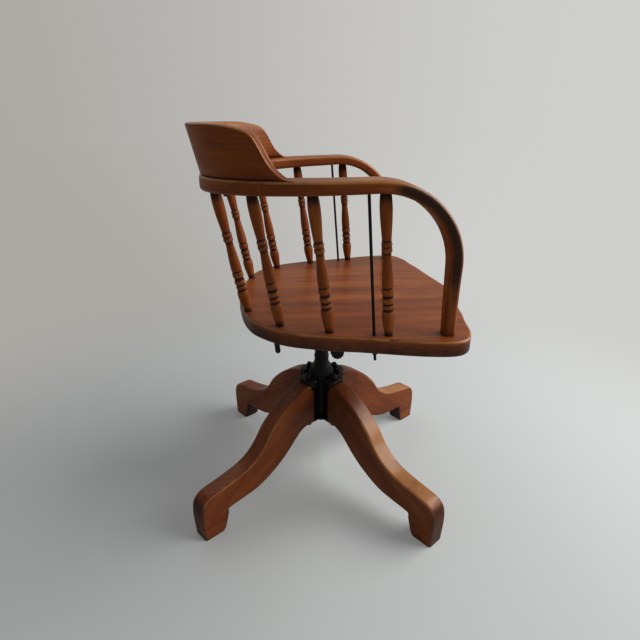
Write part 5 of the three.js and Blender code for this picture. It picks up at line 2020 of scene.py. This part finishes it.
@dataclass
class SeatIron:
    """The frame under the seat, its ears, and the pivot pin with its ribbed cap nuts.

    Attributes:
        bars: place of each cross bar along Y, and half its width.
        washer_inner: how far from the middle the washers on the pin start.
        screw_shares: places of the wood screws as shares of the rails' length.
    """

    rail_x: float = 54.0
    rail_width: float = 24.0
    low: float = 399.7
    high: float = 411.7
    front: float = -98.0
    rear: float = 140.0
    cross_height: Span = (401.0, 409.0)
    bars: Table = ((106.2, 21.0), (-72.0, 11.0))
    ear_outer: float = 58.0
    ear_thickness: float = 8.0
    ear_radius: float = 14.0
    ear_top_half: float = 36.0
    pin_radius: float = 6.0
    nut_radius: float = 13.5
    nut_flutes: int = 12
    nut_length: float = 12.0
    washer_radius: float = 10.0
    washer_inner: float = 44.3
    screw_radius: float = 5.0
    screw_height: float = 3.0
    screw_shares: Span = (0.06, 0.94)

    def ear(self) -> Array:
        """An ear's outline: half round below, its flanks sweeping out to the frame.

        Returns:
            The outline along Y and Z, counter-clockwise.
        """
        r, top = self.ear_radius, self.ear_top_half
        angle = -np.linspace(math.pi, 0, 17)
        lower = np.column_stack([PIVOT_Y + r * np.cos(angle), PIVOT_Z + r * np.sin(angle)])
        flank = np.array([
            (PIVOT_Y + r + 3.5, PIVOT_Z + 22), (PIVOT_Y + r + 10, PIVOT_Z + 48),
            (PIVOT_Y + top - 6, self.low - 7), (PIVOT_Y + top, self.low + 1),
        ])
        other = (flank * (-1, 1) + (2 * PIVOT_Y, 0))[::-1]
        rear = spline(np.vstack([lower[-1:], flank]), 5)[1:]
        return np.vstack([lower, rear, spline(np.vstack([other, lower[:1]]), 5)[:-1]])

    def form(self) -> Form:
        """Rails, the two ears with their bosses, and the cross bars.

        Returns:
            The frame's shells.
        """
        half = self.rail_width / 2
        length, height = (self.front, self.rear), (self.low, self.high)
        near, far = self.ear_outer - self.ear_thickness, self.ear_outer
        boss = washer(self.pin_radius + GAP, self.ear_radius - 0.2, near, far, 0.8)
        parts = []
        for sign in (1.0, -1.0):
            x = sign * self.rail_x
            span = (near, far) if sign > 0 else (-far, -near)
            parts += [
                plate((x - half, x + half), length, height, 5.0, 1.8, 6),
                slab(self.ear(), *span, 1.6).moved(CROSSWISE),
                boss.moved(at_pivot(sign)),
            ]
        for y, reach in self.bars:
            across = (-self.rail_x, self.rail_x)
            parts.append(plate(across, (y - reach, y + reach), self.cross_height, 3.0, 1.6))
        return Form.join(parts)

    def cap_nut(self) -> Form:
        """A ribbed round nut with a domed end, up +Z.

        Each row's radius is cut by a millimetre times the raised cosine of the ribs'
        count times the angle, fading over the dome.

        Returns:
            The nut.
        """
        start = self.ear_outer + GAP
        end = start + self.nut_length
        dome = np.linspace(0, QUARTER, 8)[:-1]
        r = self.nut_radius
        rows = np.vstack([
            (r - 1.4, start, 0.5), (r, start + 1.2, 1.0), (r, end - 4.5, 1.0),
            np.column_stack([
                r - 1.6 + 1.6 * np.cos(dome) - 7 * np.sin(dome) ** 3, end - 4.5 + 4.5 * np.sin(dome),
                np.cos(dome) ** 2,
            ]),
        ])
        return ribbed(rows, self.nut_flutes, 0.8, 1.2, 1.0)

    def build(self, shop: Workshop) -> None:
        """Fits the frame, the pin, the nuts, the washers and the wood screws.

        Args:
            shop: what dresses the pieces and sets them on their bodies.
        """
        shop.fit("seat_iron", self.form(), IRON, name="seat_iron_frame")
        reach = self.ear_outer + self.nut_length - 4
        pin = lathe([(self.pin_radius, -reach), (self.pin_radius, reach)], 28)
        shop.fit("pivot_pin", pin.moved(at_pivot()), STEEL)
        top = self.low - GAP
        disc = washer(self.pin_radius + GAP, self.washer_radius, self.washer_inner,
                      self.ear_outer - self.ear_thickness - GAP)
        head = screw_head(self.screw_radius, top - self.screw_height, top)
        for side in Side:
            place = at_pivot(side.value)
            shop.fit(f"cap_nut_{side.word}", self.cap_nut().moved(place), IRON)
            shop.fit(f"pivot_washer_{side.word}", disc.moved(place), STEEL)
            for row, share in enumerate(self.screw_shares, 1):
                y = self.front + (self.rear - self.front) * share
                under = shift(side.value * self.rail_x, y)
                shop.fit(f"seat_iron_screw_{row}_{side.word}", head.moved(under), STEEL)


@dataclass
class CrestScrews:
    """The heads of the four screws below the bow that hold the crest."""

    bow: Bow
    radius: float = 5.0
    height: float = 3.0
    crest_offset: float = 13.5
    shares: Span = (0.6, 0.86)

    def build(self, shop: Workshop) -> None:
        """Fits the four heads.

        Args:
            shop: what dresses the pieces and sets them on their bodies.
        """
        for row, half in enumerate(self.shares, 1):
            for side in Side:
                read = self.bow.at(np.array([half if side is Side.LEFT else 2 - half]))
                place = read.centre[0] + read.outward[0] * (read.width[0] / 2 - self.crest_offset)
                top = read.top[0] - read.thickness[0] - GAP
                head = screw_head(self.radius, top - self.height, top)
                shop.fit(f"crest_screw_{row}_{side.word}", head.moved(shift(*place[:2])), STEEL)


@dataclass
class TiltSpring:
    """The leaning bolt behind the head, with its nut, spring cup and coil spring."""

    y: float = 94.0
    z: float = 300.0
    lean: float = 6.6
    bolt_radius: float = 5.9
    bolt_top: float = 409.0
    thread: float = 1.75
    bridge_low: float = 401.0
    nut_radius: float = 10.5
    nut_height: float = 7.0
    wire: float = 3.6
    coil: float = 13.0
    turns: float = 4.0
    cup_radius: float = 16.5
    cup_thickness: float = 3.0
    keep: float = 0.29

    def up_lean(self, height: float, radius: float = 0.0) -> float:
        """Distance up the leaning axis to a level height, less a level face's lean over a radius."""
        lean = math.radians(self.lean)
        return (height - radius * math.tan(lean) - self.z) / math.cos(lean)

    def bolt(self) -> Form:
        """The bolt up +Z, its tail cut with a thread and its end rounded.

        The radius is cut by the thread's raised cosine of the height over the pitch less
        the angle's share of a turn, and near the end by what a dome takes away.

        Returns:
            The bolt.
        """
        r = self.bolt_radius
        z = np.concatenate([np.arange(0.2, 26, 0.25), [27, self.up_lean(self.bolt_top, r)]])
        phase = (z[:, None] / self.thread * TURN) - angles(28)
        cut = held(0.5 - 0.7 * np.cos(phase)) * np.where(z < 25.5, 0.7, 0.0)[:, None]
        taper = (r * (1 - np.sqrt(1 - held(1 - z / r) ** 2 * 0.97)))[:, None]
        return Form.loft(round_rings(r - np.maximum(cut, taper), z))

    def spring(self, low: float, high: float) -> Form:
        """The wire swept along the spring's path.

        The path stands up at both ends, bends into the coil and rises evenly over the
        turns; each ring is round the wire, square to the path.

        Args:
            low: where the wire starts, along the axis.
            high: where it ends.

        Returns:
            The spring's shell.
        """
        bend = self.wire
        entry = bend / self.coil
        start, stop = low + 2 * bend, high - 2 * bend
        quarter = np.linspace(0, QUARTER, 7)
        total = self.turns * TURN
        winding = np.linspace(0, 1, int(self.turns * 30))[1:-1]
        angle = np.concatenate([
            [0.0, 0.0], entry * (1 - np.cos(quarter[1:])), entry + winding * total,
            entry + total + entry * np.sin(quarter[:-1]), [2 * entry + total] * 2,
        ])
        z = np.concatenate([
            [low, low + bend], low + bend + bend * np.sin(quarter[1:]),
            start + (stop - start) * winding, stop + bend * (1 - np.cos(quarter[:-1])),
            [high - bend, high],
        ])
        path = np.column_stack([self.coil * np.cos(angle), self.coil * np.sin(angle), z])
        tangent = unit(np.gradient(path, axis=0))
        out = unit(path * (1, 1, 0))
        out = unit(out - (out * tangent).sum(1)[:, None] * tangent)
        aside = np.cross(tangent, out)
        ring = angles(14)[None, :, None]
        round_it = np.cos(ring) * out[:, None] + np.sin(ring) * aside[:, None]
        return Form.loft(path[:, None] + self.wire / 2 * round_it)

    def build(self, shop: Workshop) -> None:
        """Fits the bolt, the nut, the cup and the spring, and gives the spring a mesh of its own.

        Args:
            shop: what dresses the pieces and sets them on their bodies.
        """
        lean = math.radians(self.lean)
        place = shift(0, self.y, self.z) @ turn_about(-lean, "X")
        bore = self.bolt_radius + GAP
        shop.fit("tilt_bolt", self.bolt().moved(place), STEEL, sharp=THREAD_SHARP)
        nut_top = self.up_lean(TILT_ARM_LOW - GAP, self.nut_radius)
        nut = hexagon(self.nut_radius, bore, nut_top - self.nut_height, nut_top)
        shop.fit("tilt_nut", nut.moved(place), IRON)
        cup_top = self.up_lean(self.bridge_low - GAP, self.cup_radius)
        cup_low = cup_top - self.cup_thickness
        cup = washer(bore, self.cup_radius, cup_low, cup_top, 0.7)
        shop.fit("spring_cup", cup.moved(place), IRON)
        low = self.up_lean(TILT_ARM_HIGH + GAP, -self.coil - self.wire / 2)
        high = cup_low - GAP
        thing = shop.fit("tilt_spring", self.spring(low, high).moved(place), STEEL, sharp=THREAD_SHARP)
        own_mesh(thing)


# What stands round the chair


@dataclass
class Studio:
    """Floor, backdrop, light and camera, none of them part of the chair.

    Attributes:
        clip: nearest and farthest distance that the camera shows.
        fade: distances from the chair's middle between which the floor becomes backdrop.
        shown: least share of the backdrop's colour in the floor.
        aim: the place that the lamps face.
        lamps: name, place, width and height, power in watts and colour of each.
    """

    eye: Triple = (-0.9519, 0.0952, 0.7711)
    forward: Triple = (0.91938, -0.08842, -0.38331)
    right: Triple = (-0.09461, -0.99551, 0.00272)
    focal: float = 27.45
    sensor: float = 36.0
    clip: Span = (0.01, 60.0)
    floor_half: float = 14.0
    floor_colour: Triple = (0.50, 0.52, 0.52)
    bright: Triple = (0.62, 0.62, 0.605)
    dim: Triple = (0.41, 0.395, 0.37)
    sky: Triple = (0.94, 0.97, 1.0)
    ambient: float = 0.30
    fade: Span = (0.45, 1.5)
    shown: float = 0.18
    aim: Triple = (0.0, 0.0, 0.42)
    lamps: tuple[tuple[str, Triple, Span, float, Triple], ...] = (
        ("window", (-0.10, -2.0, 1.70), (2.2, 1.8), 80.0, (1.0, 0.99, 0.96)),
        ("fill", (1.5, 0.9, 2.1), (1.6, 1.6), 7.0, (0.96, 0.98, 1.0)),
    )

    def camera(self) -> None:
        """Sets the camera where the photograph was taken from."""
        lens = bpy.data.cameras.new("camera")
        lens.sensor_width = self.sensor
        lens.lens = self.focal
        lens.clip_start, lens.clip_end = self.clip
        eye = stand("camera", lens)
        ahead = Vector(self.forward).normalized()
        side = Vector(self.right).normalized()
        turn = Matrix((side, side.cross(ahead), -ahead)).transposed()
        eye.matrix_world = Matrix.Translation(self.eye) @ turn.to_4x4()
        bpy.context.scene.camera = eye

    def backdrop(self, network: Network, way: Signal) -> Signal:
        """The backdrop's colour in a direction: paler towards the window's side, -Y."""
        return network.mixed(network.parts(way)[1].clipped(-0.6, 0.55), self.bright, self.dim)

    def floor(self) -> None:
        """Lays a wide floor that fades into the backdrop's colour away from the chair."""
        far = self.floor_half
        mesh = bpy.data.meshes.new("floor")
        square = [(-far, -far, 0), (far, -far, 0), (far, far, 0), (-far, far, 0)]
        mesh.from_pydata(square, [], [(0, 1, 2, 3)])
        ground = stand("floor", mesh)
        f = Finisher("floor")
        x, y, _ = f.parts(f.place())
        away = f.math("SQRT", x * x + y * y)
        way = f.gather(x / away, y / away, 0.0)
        mesh.materials.append(
            f.surface(base_color=self.floor_colour, roughness=0.85, specular_ior_level=0.2))
        glow = f.read("Emission", 0, {"Color": self.backdrop(f, way), "Strength": 1.0})
        share = f.peak(away.clipped(*self.fade), self.shown) * f.seen()
        f.feed(f.out.inputs["Surface"], f.read("MixShader", 0, {0: share, 1: f.shown, 2: glow}))

    def light(self) -> None:
        """Lights the chair softly from above, with a plain world round it."""
        world = bpy.data.worlds.new("world")
        bpy.context.scene.world = world
        world.use_nodes = True
        n = Network(world.node_tree)
        shown = n.read("Background", 0, {"Color": self.backdrop(n, n.place("Generated"))})
        lit = n.read("Background", 0, {"Color": self.sky, "Strength": self.ambient})
        n.node("OutputWorld", {"Surface": n.read("MixShader", 0, {0: n.seen(), 1: lit, 2: shown})})
        for name, place, size, power, colour in self.lamps:
            data = bpy.data.lights.new(name, "AREA")
            data.shape = "RECTANGLE"
            data.size, data.size_y = size
            data.energy = power
            data.color = colour
            turn = (Vector(self.aim) - Vector(place)).to_track_quat("-Z", "Y").to_matrix()
            stand(name, data).matrix_world = Matrix.Translation(place) @ turn.to_4x4()

    def build(self) -> None:
        """Sets up the studio."""
        self.camera()
        self.floor()
        self.light()
        bpy.context.scene.view_settings.view_transform = "Standard"


def corners(box: tuple[Vector, Vector]) -> list[list[float]]:
    """A box as plain lists of numbers."""
    return [[float(value) for value in corner] for corner in box]


def main() -> None:
    """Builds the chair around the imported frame, one sub-assembly after another."""
    logging.basicConfig(level=logging.INFO, format="%(name)s: %(message)s")
    for thing in list(bpy.data.objects):
        bpy.data.objects.remove(thing)
    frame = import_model()
    shop = Workshop()
    bow = Bow()
    spindles, rods = Spindles(bow), TieRods(bow)
    feet = (
        *((*foot, spindles.foot_radius) for _, foot, _ in spindles.places),
        (bow.post_x, bow.post_y, bow.post_radius), (*rods.foot, rods.radius),
    )
    Studio().build()
    for part in (
        Seat(feet), Arms(bow), BackRail(bow), Crest(bow), spindles, rods, CrestScrews(bow), Legs(),
        Hub(), HeightScrew(), TiltHead(), SeatIron(), TiltSpring(),
    ):
        part.build(shop)
    for node in frame["nodes"].values():
        if not node.hide_render:
            shop.dress(node, FRAME_WOOD if node.name.startswith("rail_dowel") else IRON)
    log.info("%d pieces", shop.made)


if __name__ == "__main__":
    main()
